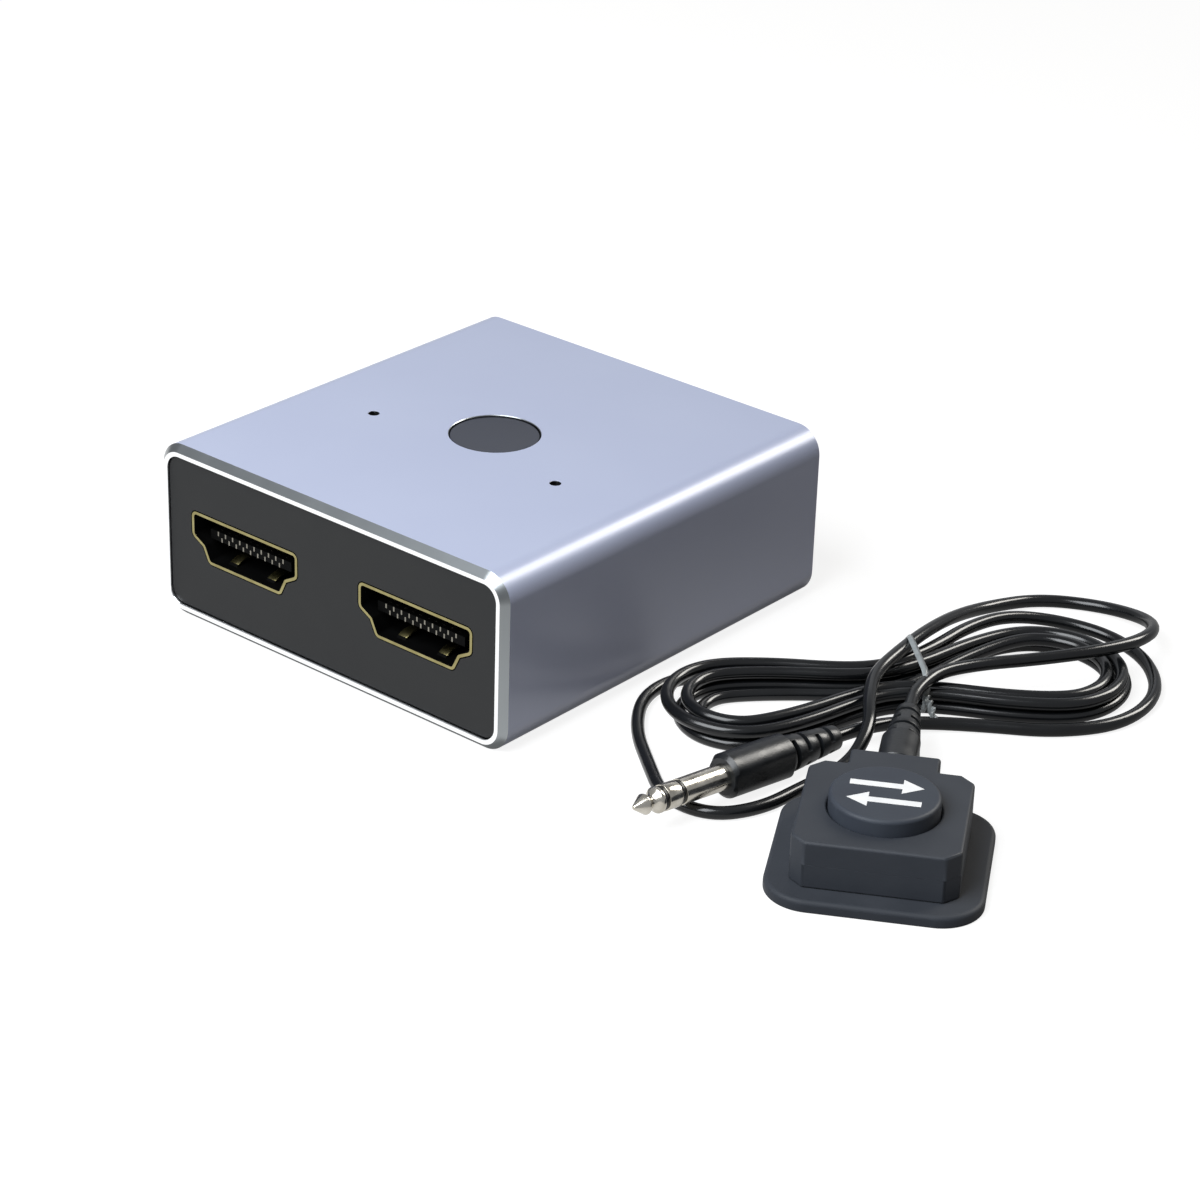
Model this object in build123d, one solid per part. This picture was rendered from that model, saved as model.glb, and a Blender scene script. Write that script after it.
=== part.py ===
from build123d import *
import os
from math import pi, radians, sqrt, tan

# HDMI switch box with its wired remote button. Millimetres, +Z up, the front face towards -Y.
# The origin is the middle of the box's underside, where the box rests.

os.makedirs("parts", exist_ok=True)

# Housing sleeve, an aluminium extrusion
box_width = 46.0
box_depth = 48.0
box_height = 18.5
sleeve_wall = 1.2
sleeve_corner_radius = 2.8
end_chamfer_width = 0.7
rail_width = 1.5
rail_thickness = 0.9
overrun = 1.0

# End panels, pressed into the ends of the sleeve against the rails
panel_thickness = 1.6
panel_recess_depth = 0.3
panel_clearance = 0.08
cutout_clearance = 0.12

# Video sockets: the opening is the standard size of a full-size receptacle
socket_width = 14.0
socket_height = 4.55
socket_side_height = 2.2
socket_step_width = 1.45
socket_step_height = 0.8
socket_floor_width = 9.6
socket_corner_radius = 0.35
socket_step_radius = 0.45
socket_depth = 11.5
socket_wall = 0.3
socket_lift_height = 0.2
socket_side_margin = 3.4
leg_width = 1.4
leg_foot_length = 0.5
leg_clearance = 0.15
leg_shares = (0.35, 0.85)

# Leaf springs in the socket shells
spring_spacing = 5.2
spring_width = 1.1
spring_thickness = 0.15
spring_height = 0.6
spring_start_depth = 0.9
spring_length = 3.4

# Insulator and contacts of a video socket
insulator_clearance = 0.04
insulator_block_depth = 3.4
tongue_width = 11.2
tongue_thickness = 1.0
tongue_setback_depth = 0.9
tongue_offset = 0.3
contact_count = 19
contact_pitch = 0.5
contact_width = 0.28
contact_thickness = 0.2
contact_proud_height = 0.05
contact_setback_depth = 0.5
contact_short_exit_length = 0.5
contact_long_exit_length = 1.3

# Main circuit board and what it carries
board_thickness = 1.2
board_corner_radius = 0.8
board_side_clearance = 0.2
board_end_clearance = 0.2
board_slot_clearance = 0.1
chip_size = 8.0
chip_height = 0.9
chip_rail_clearance = 1.34
chip_port_clearance = 2.0
chip_mark_diameter = 0.9
chip_mark_depth = 0.1
crystal_length = 3.2
crystal_width = 2.5
crystal_height = 0.8
crystal_place_shares = (0.27, 0.12)
capacitor_length = 1.6
capacitor_width = 0.8
capacitor_height = 0.8
capacitor_count = 8
resistor_length = 1.0
resistor_width = 0.5
resistor_height = 0.35
resistor_count = 8
passive_pitch = 1.5
passive_row_gap = 2.4

# Push button in the top of the box
button_hole_diameter = 9.2
button_clearance = 0.1
button_recess_depth = 0.15
button_edge_radius = 0.25
button_flange_width = 1.1
button_flange_thickness = 0.8
button_flange_gap = 0.1
button_stem_diameter = 5.0
button_web_thickness = 1.425
button_pocket_depth = 0.6

# Tact switches: the larger one on the main board, the smaller one in the remote
tact_clearance = 0.05
tact_size = 6.0
tact_height = 3.4
tact_shaft_diameter = 3.4
tact_floor_thickness = 1.2
tact_lid_thickness = 0.5
tact_flange_width = 0.5
dome_height = 0.5
dome_thickness = 0.08
remote_tact_size = 4.2
remote_tact_height = 1.3
remote_tact_shaft_diameter = 1.9
remote_tact_shaft_height = 1.7
remote_tact_floor_thickness = 0.25
remote_tact_lid_thickness = 0.2
remote_tact_flange_width = 0.35
remote_dome_height = 0.4
remote_dome_thickness = 0.06

# Status lamps and their light pipes
lamp_spacing = 24.2
lamp_place_y = -4.7
lamp_length = 2.0
lamp_width = 1.25
lamp_height = 0.8
lamp_gap = 0.3
light_hole_diameter = 1.1
light_pipe_clearance = 0.05
light_pipe_sink_depth = 0.35
light_pipe_diameter = 2.6

# Jack port for the remote, in the rear panel
port_side_margin = 6.8
port_width = 5.0
port_height = 4.4
port_length = 11.0
port_nose_diameter = 4.2
port_bore_diameter = 2.56
port_bore_depth = 11.5
port_terminal_width = 0.9
port_terminal_thickness = 0.25
port_terminal_shares = (0.2, 0.5, 0.8)

# Wired remote: plate, case and button
remote_angle = 30.1
plate_size = 19.5
plate_thickness = 1.2
plate_corner_radius = 4.2
plate_edge_radius = 0.45
pad_margin_width = 0.25
pad_thickness = 0.4
pad_corner_radius = 2.5
case_size = 15.0
case_height = 4.6
case_split_height = 2.3
case_wall = 0.9
case_floor_thickness = 0.8
case_corner_cut_width = 1.3
case_edge_radius = 0.3
neck_width = 8.2
neck_length = 2.7
neck_edge_radius = 0.35
lip_height = 0.6
lip_thickness = 0.4
lip_clearance = 0.05
remote_button_diameter = 10.2
remote_button_proud_height = 1.5
remote_button_edge_radius = 0.35
remote_button_clearance = 0.1
remote_button_flange_width = 0.7
remote_button_flange_gap = 0.1
remote_board_thickness = 0.8
remote_board_clearance = 0.15

# Lead, plug and strain relief
cord_diameter = 1.3
grip_diameter = 4.3
grip_length = 5.5
plug_grip_length = 8.0
grip_edge_width = 0.4
grip_groove_width = 0.5
boot_length = 6.5
boot_rib_count = 4
boot_start_diameter = 3.6
boot_tip_diameter = 2.4
boot_core_diameter = 1.9
relief_shaft_diameter = 2.8
relief_flange_diameter = 3.8
relief_flange_thickness = 0.8
relief_flange_inset_depth = 1.0
relief_clearance = 0.05
pin_diameter = 2.5
pin_sleeve_length = 5.4
pin_ring_length = 1.6
pin_band_length = 0.5
pin_length = 11.0
pin_tip_waist_diameter = 1.5
pin_tip_radius = 0.5
pin_core_diameter = 0.8
pin_spigot_diameter = 2.0
pin_spigot_length = 3.0

# Hank: its waist stands at hank_place, its long axis at hank_angle from +X
hank_place = (42.4, 10.0)
hank_angle = 56.5
hank_run_count = 9
hank_run_spacing = 1.0
hank_waist_offset = 0.5
hank_left_offset = 3.5
hank_right_offset = 5.0
hank_left_length = 15.0
hank_right_length = 16.0
hank_layer_spacing = 1.8
hank_floor_gap = 0.45
least_gap_allowed = 0.4
diameter_sample_count = 4
skipped_diameter_count = 4
tie_place = 3.0
tie_width = 1.1
tie_thickness = 0.3
tie_side_clearance = 0.7
tie_top_clearance = 0.25
tie_corner_radius = 1.2
tie_tail_length = 2.4
tie_tail_diameter = 0.8
tie_tail_height = 2.4

# Route of the lead from the remote to the hank, and from the hank to the plug. The points are in the
# hank's own frame: x along its axis, y across it towards the box, z up from the floor.
route_to_hank = [
    (-1.3, -8.6, 3.5),
    (-0.32, -6.63, 3.5),
    (1.2, -4.5, 4.75),
    (4.2, -1.9, 4.75),
    (9.0, -0.9, 4.3),
    (14.6, -1.2, 4.0),
    (20.4, -1.4, 4.7),
    (25.6, -0.3, 4.6),
    (29.2, 2.8, 2.9),
    (30.8, 8.0, 0.9),
    (28.2, 13.4, 0.68),
    (22.6, 16.6, 0.68),
    (16.6, 15.6, 1.1),
    (11.4, 11.9, 3.2),
    (6.8, 7.2, 4.6),
    (2.4, 3.2, 4.6),
    (-1.8, -0.6, 4.6),
    (-4.0, -5.2, 4.6),
    (-5.4, -9.6, 3.2),
    (-8.7, -13.0, 1.2),
    (-13.8, -15.0, 0.68),
    (-18.8, -17.8, 0.68),
    (-23.8, -17.9, 0.68),
    (-26.9, -13.6, 0.68),
    (-26.4, -7.6, 0.68),
    (-25.7, -1.0, 0.68),
    (-23.2, 5.0, 0.8),
    (-18.8, 7.5, 1.1),
    (-16.3, 7.5, 1.1),
]
route_to_plug = [
    (1.3, 4.5, 2.9),
    (3.6, 4.5, 2.9),
    (7.4, 6.4, 2.9),
    (12.0, 9.6, 2.9),
    (17.0, 11.4, 2.2),
    (22.2, 10.5, 1.3),
    (26.6, 6.9, 0.8),
    (28.0, 0.8, 0.68),
    (25.8, -6.0, 0.68),
    (20.2, -10.4, 0.68),
    (13.2, -10.4, 0.68),
    (6.8, -7.6, 0.68),
    (1.2, -5.9, 0.8),
    (-4.0, -6.35, 1.47),
    (-8.59, -8.55, 1.79),
]
plug_direction = (-0.900, -0.431, 0.063)
arc_share = 0.45

# Sizes that follow from those above
bore_width = box_width - 2 * sleeve_wall
bore_height = box_height - 2 * sleeve_wall
bore_radius = sleeve_corner_radius - sleeve_wall
bore_roof = box_height - sleeve_wall
panel_face = box_depth / 2 - panel_recess_depth
panel_seat = panel_face - panel_thickness
socket_centre_height = box_height / 2 + socket_lift_height
socket_spacing = bore_width - socket_width - 2 * socket_side_margin
board_top = socket_centre_height - socket_height / 2 - socket_wall
board_bottom = board_top - board_thickness
board_width = bore_width - 2 * board_side_clearance
board_length = 2 * (panel_seat - board_end_clearance)
port_place_x = port_side_margin - bore_width / 2
port_start = board_length / 2 - port_length
capacitor_reach = (chip_size + passive_row_gap) / 2
chip_side_margin = rail_width + chip_rail_clearance + capacitor_length / 2 + capacitor_reach
chip_place_x = chip_side_margin - bore_width / 2
chip_place_y = port_start - chip_port_clearance - chip_size / 2
button_flange_top = bore_roof - button_flange_gap
button_flange_bottom = button_flange_top - button_flange_thickness
box_tact_shaft_height = button_flange_bottom - button_web_thickness - board_top
pad_size = case_size + 2 * pad_margin_width
case_top = plate_thickness + case_height
case_split = plate_thickness + case_split_height
case_floor_top = plate_thickness + case_floor_thickness
case_roof = case_top - case_floor_thickness
remote_board_top = case_floor_top + remote_board_thickness
relief_axis_height = case_split
neck_face = case_size / 2 + neck_length
boot_end = grip_length + boot_length
plug_boot_end = plug_grip_length + boot_length


def block(x, y, z):
    """A box between the low and high values of each axis."""
    middle = [(low + high) / 2 for low, high in (x, y, z)]
    size = [high - low for low, high in (x, y, z)]
    return Pos(*middle) * Box(*size)


def centred(middle, size):
    """Low and high values of a span with this middle and size."""
    return (middle - size / 2, middle + size / 2)


def disc(x, y, low, high, diameter):
    """An upright cylinder."""
    return Pos(x, y, (low + high) / 2) * Cylinder(diameter / 2, high - low)


def turned(profile):
    """A solid turned about the X axis from (x, radius) points."""
    outline = [(profile[0][0], 0)] + profile + [(profile[-1][0], 0)]
    return revolve(make_face(Polyline(*outline, close=True)), axis=Axis.X)


def save(name, *shapes):
    """Writes the solids of one node."""
    solids = [solid for shape in shapes for solid in shape.solids()]
    export_step(solids[0] if len(solids) == 1 else Compound(children=solids), f"parts/{name}.step")


# Housing sleeve
def end_outline(width, height, radius):
    """A rounded rectangle across the box, at the height of the box's middle."""
    return Plane.XZ * Pos(0, box_height / 2) * RectangleRounded(width, height, radius)


def housing_sleeve():
    outer = extrude(end_outline(box_width, box_height, sleeve_corner_radius), box_depth / 2, both=True)
    ends = outer.faces().filter_by(Axis.Y)
    outer = chamfer(ends.edges(), end_chamfer_width)
    bore = extrude(end_outline(bore_width, bore_height, bore_radius), box_depth, both=True)
    sleeve = outer - bore
    for side in (-1, 1):
        wall = sorted((side * (bore_width / 2 - rail_width), side * (bore_width / 2 + sleeve_wall / 2)))
        length = (-panel_seat, panel_seat)
        over = board_top + board_slot_clearance
        under = board_bottom - board_slot_clearance
        sleeve += block(wall, length, (over, over + rail_thickness))
        sleeve += block(wall, length, (under - rail_thickness, under))
        lamp_x = side * lamp_spacing / 2
        span = (bore_roof - overrun, box_height + overrun)
        sleeve -= disc(lamp_x, lamp_place_y, *span, light_hole_diameter)
    hole = disc(0, 0, bore_roof - overrun, box_height + overrun, button_hole_diameter)
    cone = Pos(0, 0, box_height - button_edge_radius / 2) * Cone(
        button_hole_diameter / 2, button_hole_diameter / 2 + button_edge_radius, button_edge_radius
    )
    return sleeve - hole - cone


# Video sockets, each in its own frame: mouth at y 0, facing -Y, the opening's middle at z 0
def socket_outline():
    """The opening: straight upper sides, a step inwards, and a narrower floor."""
    half = socket_width / 2
    top = socket_height / 2
    side_end = top - socket_side_height
    right = [
        (half, top),
        (half, side_end),
        (half - socket_step_width, side_end - socket_step_height),
        (socket_floor_width / 2, -top),
    ]
    left = [(-x, z) for x, z in reversed(right)]
    radii = [socket_corner_radius, socket_step_radius, socket_step_radius, socket_corner_radius]
    wire = FilletPolyline(*right, *left, radius=radii + radii[::-1], close=True)
    return Plane.XZ * make_face(wire)


def socket_prism(growth, start, end):
    """The opening's outline grown outwards, between two depths behind the mouth."""
    outline = offset(socket_outline(), growth) if growth else socket_outline()
    return Pos(0, start, 0) * extrude(outline, end - start, dir=(0, 1, 0))


def leaf_spring(x, side):
    """An arched strip that stands up from the shell's floor (side -1) or hangs from its roof (side 1)."""
    wall = side * (socket_height / 2 + spring_thickness)
    inner = wall - side * spring_thickness
    ends = (spring_start_depth, spring_start_depth + spring_length)
    middle = sum(ends) / 2
    lower = ThreePointArc((ends[0], wall), (middle, wall - side * spring_height), (ends[1], wall))
    upper = ThreePointArc((ends[1], inner), (middle, inner - side * spring_height), (ends[0], inner))
    edges = [lower, Line(lower @ 1, upper @ 0), upper, Line(upper @ 1, lower @ 0)]
    return Pos(x, 0, 0) * extrude(Plane.YZ * make_face(edges), spring_width / 2, both=True)


def socket_legs(clearance):
    """Two solder legs on each side, through the board."""
    inner = socket_width / 2 - clearance
    outer = socket_width / 2 + socket_wall + clearance
    top = socket_height / 2 - socket_side_height
    foot = board_bottom - leg_foot_length - socket_centre_height
    legs = []
    for side in (-1, 1):
        for share in leg_shares:
            y = centred(share * socket_depth, leg_width + 2 * clearance)
            legs.append(block(sorted((side * inner, side * outer)), y, (foot - clearance, top + clearance)))
    return legs


def socket_shell():
    shell = socket_prism(socket_wall, 0, socket_depth) - socket_prism(0, -overrun, socket_depth + overrun)
    for x in (-spring_spacing / 2, spring_spacing / 2):
        for side in (-1, 1):
            shell += leaf_spring(x, side)
    for leg in socket_legs(0):
        shell += leg
    return shell


def socket_contacts():
    """Nineteen strips on the tongue, in two rows, bent down to the board behind the block."""
    board = -socket_height / 2 - socket_wall
    strips = []
    for index in range(contact_count):
        x = centred((index - (contact_count - 1) / 2) * contact_pitch, contact_width)
        upper = index % 2 == 0
        face = tongue_offset + (tongue_thickness / 2 if upper else -tongue_thickness / 2)
        z = sorted((face + (contact_proud_height if upper else -contact_proud_height),
                    face - (contact_thickness - contact_proud_height) * (1 if upper else -1)))
        back = socket_depth + (contact_long_exit_length if upper else contact_short_exit_length)
        strip = block(x, (tongue_setback_depth + contact_setback_depth, back), z)
        strip += block(x, (back - contact_thickness, back), (board, z[1]))
        strips.append(strip)
    return strips


def socket_insulator(contacts):
    block_start = socket_depth - insulator_block_depth
    insulator = socket_prism(-insulator_clearance, block_start, socket_depth)
    insulator += block(
        centred(0, tongue_width),
        (tongue_setback_depth, socket_depth - insulator_block_depth / 2),
        centred(tongue_offset, tongue_thickness),
    )
    for strip in contacts:
        insulator -= strip
    return insulator


def socket_places():
    """Name and place of each video socket: two inputs in front, one output behind."""
    return {
        "hdmi_in_left": Pos(-socket_spacing / 2, -panel_face, socket_centre_height),
        "hdmi_in_right": Pos(socket_spacing / 2, -panel_face, socket_centre_height),
        "hdmi_out": Pos(0, panel_face, socket_centre_height) * Rot(0, 0, 180),
    }


# End panels
def blank_panel(side):
    outline = end_outline(
        bore_width - 2 * panel_clearance, bore_height - 2 * panel_clearance, bore_radius - panel_clearance
    )
    start = side * panel_face
    return Pos(0, start, 0) * extrude(outline, panel_thickness, dir=(0, -side, 0))


def front_panel():
    panel = blank_panel(-1)
    cutter = socket_prism(socket_wall + cutout_clearance, -overrun, panel_thickness + overrun)
    for name in ("hdmi_in_left", "hdmi_in_right"):
        panel -= socket_places()[name] * cutter
    return panel


def rear_panel():
    panel = blank_panel(1)
    cutter = socket_prism(socket_wall + cutout_clearance, -overrun, panel_thickness + overrun)
    panel -= socket_places()["hdmi_out"] * cutter
    nose = Cylinder(port_nose_diameter / 2 + cutout_clearance, 2 * (panel_thickness + overrun))
    return panel - Pos(port_place_x, panel_face, port_axis_height()) * Rot(90, 0, 0) * nose


# Main board
def main_board():
    outline = RectangleRounded(board_width, board_length, board_corner_radius)
    board = Pos(0, 0, board_bottom) * extrude(outline, board_thickness)
    for place in socket_places().values():
        for leg in socket_legs(leg_clearance):
            board -= place * leg
    return board


def on_board(x, y, length, width, height):
    """A chip-shaped block standing on the board."""
    return block(centred(x, length), centred(y, width), (board_top, board_top + height))


def switch_chip():
    body = on_board(chip_place_x, chip_place_y, chip_size, chip_size, chip_height)
    corner = chip_size / 2 - chip_mark_diameter
    top = board_top + chip_height
    depth = (top - chip_mark_depth, top + overrun)
    return body - disc(chip_place_x - corner, chip_place_y - corner, *depth, chip_mark_diameter)


def board_crystal():
    x, y = (share * side for share, side in zip(crystal_place_shares, (board_width, board_length)))
    can = on_board(x, y, crystal_length, crystal_width, crystal_height)
    return fillet(can.edges().filter_by(Axis.Z), crystal_height / 2)


def steps(middle, count):
    """Places of count small parts in a row, a passive_pitch apart."""
    return [middle + (index - (count - 1) / 2) * passive_pitch for index in range(count)]


def board_resistors():
    """A row of termination resistors behind each front socket."""
    y = socket_depth + passive_row_gap - panel_face
    return [
        on_board(x, y, resistor_width, resistor_length, resistor_height)
        for side in (-1, 1)
        for x in steps(side * socket_spacing / 2, resistor_count)
    ]


def board_capacitors():
    """A column of capacitors on each side of the switch chip."""
    return [
        on_board(x, y, capacitor_length, capacitor_width, capacitor_height)
        for x in (chip_place_x - capacitor_reach, chip_place_x + capacitor_reach)
        for y in steps(chip_place_y, capacitor_count // 2)
    ]


# Tact switches: base at z 0, in their own frame
def tact_switch(size, height, shaft, top, floor, lid, reach, dome, sheet):
    """Body, plunger and snap dome of a push switch."""
    cavity = shaft + 2 * reach + 2 * tact_clearance
    body = block(centred(0, size), centred(0, size), (0, height))
    body = chamfer(body.edges().filter_by(Axis.Z), size / 12)
    body -= disc(0, 0, floor, height - lid, cavity)
    body -= disc(0, 0, floor, height + overrun, shaft + 2 * tact_clearance)
    seat = floor + dome + tact_clearance
    plunger = disc(0, 0, seat, height - lid - tact_clearance, shaft + 2 * reach)
    plunger += disc(0, 0, seat, top, shaft)
    rim = (cavity - 2 * tact_clearance) / 2
    outer = ThreePointArc((rim, floor), (0, floor + dome), (-rim, floor))
    inner = ThreePointArc((-rim + sheet, floor), (0, floor + dome - sheet), (rim - sheet, floor))
    edges = [outer, Line(outer @ 1, inner @ 0), inner, Line(inner @ 1, outer @ 0)]
    half = make_face(edges) & Pos(rim, 0) * Rectangle(2 * rim, 4 * (floor + dome))
    snap_dome = revolve(Plane.XZ * half, axis=Axis.Z)
    return body, plunger, snap_dome


def box_tact():
    return tact_switch(
        tact_size, tact_height, tact_shaft_diameter, box_tact_shaft_height, tact_floor_thickness,
        tact_lid_thickness, tact_flange_width, dome_height, dome_thickness,
    )


def remote_tact():
    return tact_switch(
        remote_tact_size, remote_tact_height, remote_tact_shaft_diameter, remote_tact_shaft_height,
        remote_tact_floor_thickness, remote_tact_lid_thickness, remote_tact_flange_width,
        remote_dome_height, remote_dome_thickness,
    )


# Push button in the top of the box
def box_button():
    diameter = button_hole_diameter - 2 * button_clearance
    top = box_height - button_recess_depth
    shaft_top = board_top + box_tact_shaft_height
    stem_bottom = shaft_top - button_pocket_depth
    cap = disc(0, 0, button_flange_bottom, top, diameter)
    cap = fillet(cap.edges().group_by(Axis.Z)[-1], button_edge_radius)
    flange_diameter = button_hole_diameter + 2 * button_flange_width
    cap += disc(0, 0, button_flange_bottom, button_flange_top, flange_diameter)
    cap += disc(0, 0, stem_bottom, button_flange_bottom, button_stem_diameter)
    pocket = tact_shaft_diameter + 2 * tact_clearance
    return cap - disc(0, 0, stem_bottom - overrun, shaft_top, pocket)


# Lamps and light pipes
def status_lamps():
    return [
        on_board(side * lamp_spacing / 2, lamp_place_y, lamp_length, lamp_width, lamp_height)
        for side in (-1, 1)
    ]


def light_pipe(side):
    x = side * lamp_spacing / 2
    foot = board_top + lamp_height + lamp_gap
    pipe = disc(x, lamp_place_y, foot, bore_roof, light_pipe_diameter)
    neck = light_hole_diameter - 2 * light_pipe_clearance
    return pipe + disc(x, lamp_place_y, bore_roof - overrun, box_height - light_pipe_sink_depth, neck)


# Jack port for the remote
def port_axis_height():
    return board_top + port_height / 2


def remote_port():
    """Body with a round nose and a blind bore, and its three terminals."""
    nose_start = port_start + port_length
    body = block(
        centred(port_place_x, port_width),
        (port_start, nose_start),
        (board_top, board_top + port_height),
    )
    axis = Pos(port_place_x, panel_face, port_axis_height()) * Rot(90, 0, 0)
    nose = panel_face - nose_start
    body += axis * Pos(0, 0, nose / 2) * Cylinder(port_nose_diameter / 2, nose)
    body -= axis * Pos(0, 0, port_bore_depth / 2 - overrun / 2) * Cylinder(
        port_bore_diameter / 2, port_bore_depth + overrun
    )
    terminals = []
    side = port_place_x - port_width / 2
    for share in port_terminal_shares:
        y = centred(nose_start - share * port_length, port_terminal_width)
        height = board_top + port_height / 2
        terminals.append(block((side - port_terminal_thickness, side), y, (board_top, height)))
    return body, terminals


# Wired remote, in its own frame: plate centre at the origin, the neck towards +Y
def case_outline(inset):
    """The case's square with cut corners, and its neck."""
    half = case_size / 2 - inset
    cut = case_corner_cut_width - inset * tan(radians(22.5))
    corners = [(half, half - cut), (half - cut, half)]
    points = []
    for turn_x, turn_y, swap in ((1, 1, 0), (-1, 1, 1), (-1, -1, 0), (1, -1, 1)):
        pair = [(turn_x * x, turn_y * y) for x, y in corners]
        points += pair[::-1] if swap else pair
    return make_face(Polyline(*points, close=True))


def case_block(low, high, inset=0):
    return Pos(0, 0, low) * extrude(case_outline(inset), high - low)


def neck_block(low, high):
    neck = block(centred(0, neck_width), (case_size / 2 - case_wall, neck_face), (low, high))
    corners = neck.edges().filter_by(Axis.Z).group_by(Axis.Y)[-1]
    return fillet(corners, neck_edge_radius)


def relief_channel():
    """The room that the strain relief takes in the neck."""
    inner_end = case_size / 2 - case_wall
    flange_end = neck_face - relief_flange_inset_depth
    shaft = Cylinder(relief_shaft_diameter / 2 + relief_clearance, neck_face - inner_end + 2 * overrun)
    middle = (neck_face + inner_end) / 2
    channel = Pos(0, middle, relief_axis_height) * Rot(90, 0, 0) * shaft
    flange = Cylinder(
        relief_flange_diameter / 2 + relief_clearance, relief_flange_thickness + 2 * relief_clearance
    )
    flange_middle = flange_end - relief_flange_thickness / 2
    return channel + Pos(0, flange_middle, relief_axis_height) * Rot(90, 0, 0) * flange


def remote_case_lower():
    case = case_block(plate_thickness, case_split) + neck_block(plate_thickness, case_split)
    case -= case_block(case_floor_top, case_split + overrun, case_wall)
    lip_top = case_split + lip_height
    lip = case_block(case_floor_top, lip_top, case_wall)
    lip -= case_block(case_floor_top - overrun, lip_top + overrun, case_wall + lip_thickness)
    gate = block(centred(0, neck_width), (0, neck_face), (case_split, case_top))
    return case + (lip - gate) - relief_channel()


def remote_case_upper():
    case = case_block(case_split, case_top) + neck_block(case_split, case_top)
    case = fillet(case.faces().sort_by(Axis.Z)[-1].outer_wire().edges(), case_edge_radius)
    case -= case_block(case_split - overrun, case_roof, case_wall - lip_clearance)
    case -= disc(0, 0, case_roof - overrun, case_top + overrun, remote_button_diameter)
    return case - relief_channel()


def remote_plate():
    outline = RectangleRounded(plate_size, plate_size, plate_corner_radius)
    plate = extrude(outline, plate_thickness)
    plate = fillet(plate.edges().group_by(Axis.Z)[-1], plate_edge_radius)
    return plate - extrude(RectangleRounded(pad_size, pad_size, pad_corner_radius), pad_thickness)


def remote_pad():
    return extrude(RectangleRounded(pad_size, pad_size, pad_corner_radius), pad_thickness)


def remote_board():
    inset = case_wall + lip_thickness + remote_board_clearance
    board = case_block(case_floor_top, remote_board_top, inset)
    return board


def remote_button():
    diameter = remote_button_diameter - 2 * remote_button_clearance
    flange_bottom = remote_board_top + remote_tact_shaft_height
    flange_top = case_roof - remote_button_flange_gap
    top = case_top + remote_button_proud_height
    cap = disc(0, 0, flange_bottom, top, diameter)
    cap = fillet(cap.edges().group_by(Axis.Z)[-1], remote_button_edge_radius)
    flange_diameter = remote_button_diameter + 2 * remote_button_flange_width
    return cap + disc(0, 0, flange_bottom, flange_top, flange_diameter)


# Moulded grips, along X: the grip ends at x 0 and the boot's thin end is at the far end
def boot_profile(start):
    """Ribs that taper towards the cord, each with a gap before it that shows the plain core."""
    pitch = boot_length / boot_rib_count
    core = boot_core_diameter / 2
    taper = (boot_start_diameter - boot_tip_diameter) / (2 * boot_rib_count)
    points = []
    for index in range(boot_rib_count):
        gap_start = start + index * pitch
        rib_start = gap_start + pitch / 3
        rib_end = gap_start + pitch
        start_radius = boot_start_diameter / 2 - (index + 1 / 3) * taper
        end_radius = boot_start_diameter / 2 - (index + 1) * taper
        points += [(gap_start, core), (rib_start, core), (rib_start, start_radius), (rib_end, end_radius)]
    return points


def grip_profile(length):
    radius = grip_diameter / 2
    return [
        (0, radius - grip_edge_width),
        (grip_edge_width, radius),
        (length - grip_groove_width, radius),
        (length, radius - grip_edge_width),
    ]


def strain_relief():
    """Grip, boot, and the shaft and flange that the neck holds. Runs along +X from the neck's face."""
    relief = turned(grip_profile(grip_length) + boot_profile(grip_length))
    inner_end = -(neck_length + case_wall)
    relief += turned([(inner_end, relief_shaft_diameter / 2), (0, relief_shaft_diameter / 2)])
    flange_end = -relief_flange_inset_depth
    radius = relief_flange_diameter / 2
    return relief + turned([(flange_end - relief_flange_thickness, radius), (flange_end, radius)])


def plug_body():
    """Grip and boot along +X, with the room for the pin's spigot."""
    body = turned(grip_profile(plug_grip_length) + boot_profile(plug_grip_length))
    spigot_radius = pin_spigot_diameter / 2
    return body - turned([(-overrun, spigot_radius), (pin_spigot_length, spigot_radius)])


def plug_pin():
    """Sleeve, ring, tip and insulating bands of the pin, which points along -X from the grip's end."""
    radius = pin_diameter / 2
    sleeve_end = -pin_sleeve_length
    ring_start = sleeve_end - pin_band_length
    ring_end = ring_start - pin_ring_length
    tip_start = ring_end - pin_band_length
    core_radius = pin_core_diameter / 2
    core = turned([(-pin_length + pin_diameter, core_radius), (pin_spigot_length, core_radius)])
    sleeve = turned([(sleeve_end, radius), (0, radius)])
    sleeve += turned([(0, pin_spigot_diameter / 2), (pin_spigot_length, pin_spigot_diameter / 2)])
    ring = turned([(ring_end, radius), (ring_start, radius)])
    bands = [
        turned([(ring_start, radius), (sleeve_end, radius)]),
        turned([(tip_start, radius), (ring_end, radius)]),
    ]
    tip_length = pin_length + tip_start
    tip = turned([
        (-pin_length, pin_tip_radius),
        (-pin_length + tip_length / 3, radius),
        (-pin_length + 2 * tip_length / 3, pin_tip_waist_diameter / 2),
        (tip_start - (pin_diameter - pin_tip_waist_diameter) / 8, radius),
        (tip_start, radius),
    ])
    return sleeve - core, ring - core, tip + core, [part - core for part in bands]


# Lead: the free stretches are runs joined by arcs, the hank is wound from quarter and half turns
def route_radii(points):
    """The largest arc at each corner that its two runs allow."""
    radii = []
    for before, here, after in zip(points, points[1:], points[2:]):
        first = Vector(*here) - Vector(*before)
        second = Vector(*after) - Vector(*here)
        turn = radians(first.get_angle(second))
        radii.append(arc_share * min(first.length, second.length) / tan(turn / 2))
    return radii


def tube(path):
    """A round cord along a path."""
    start = Plane(origin=path @ 0, z_dir=path % 0)
    return sweep(start * Circle(cord_diameter / 2), path=path)


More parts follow.
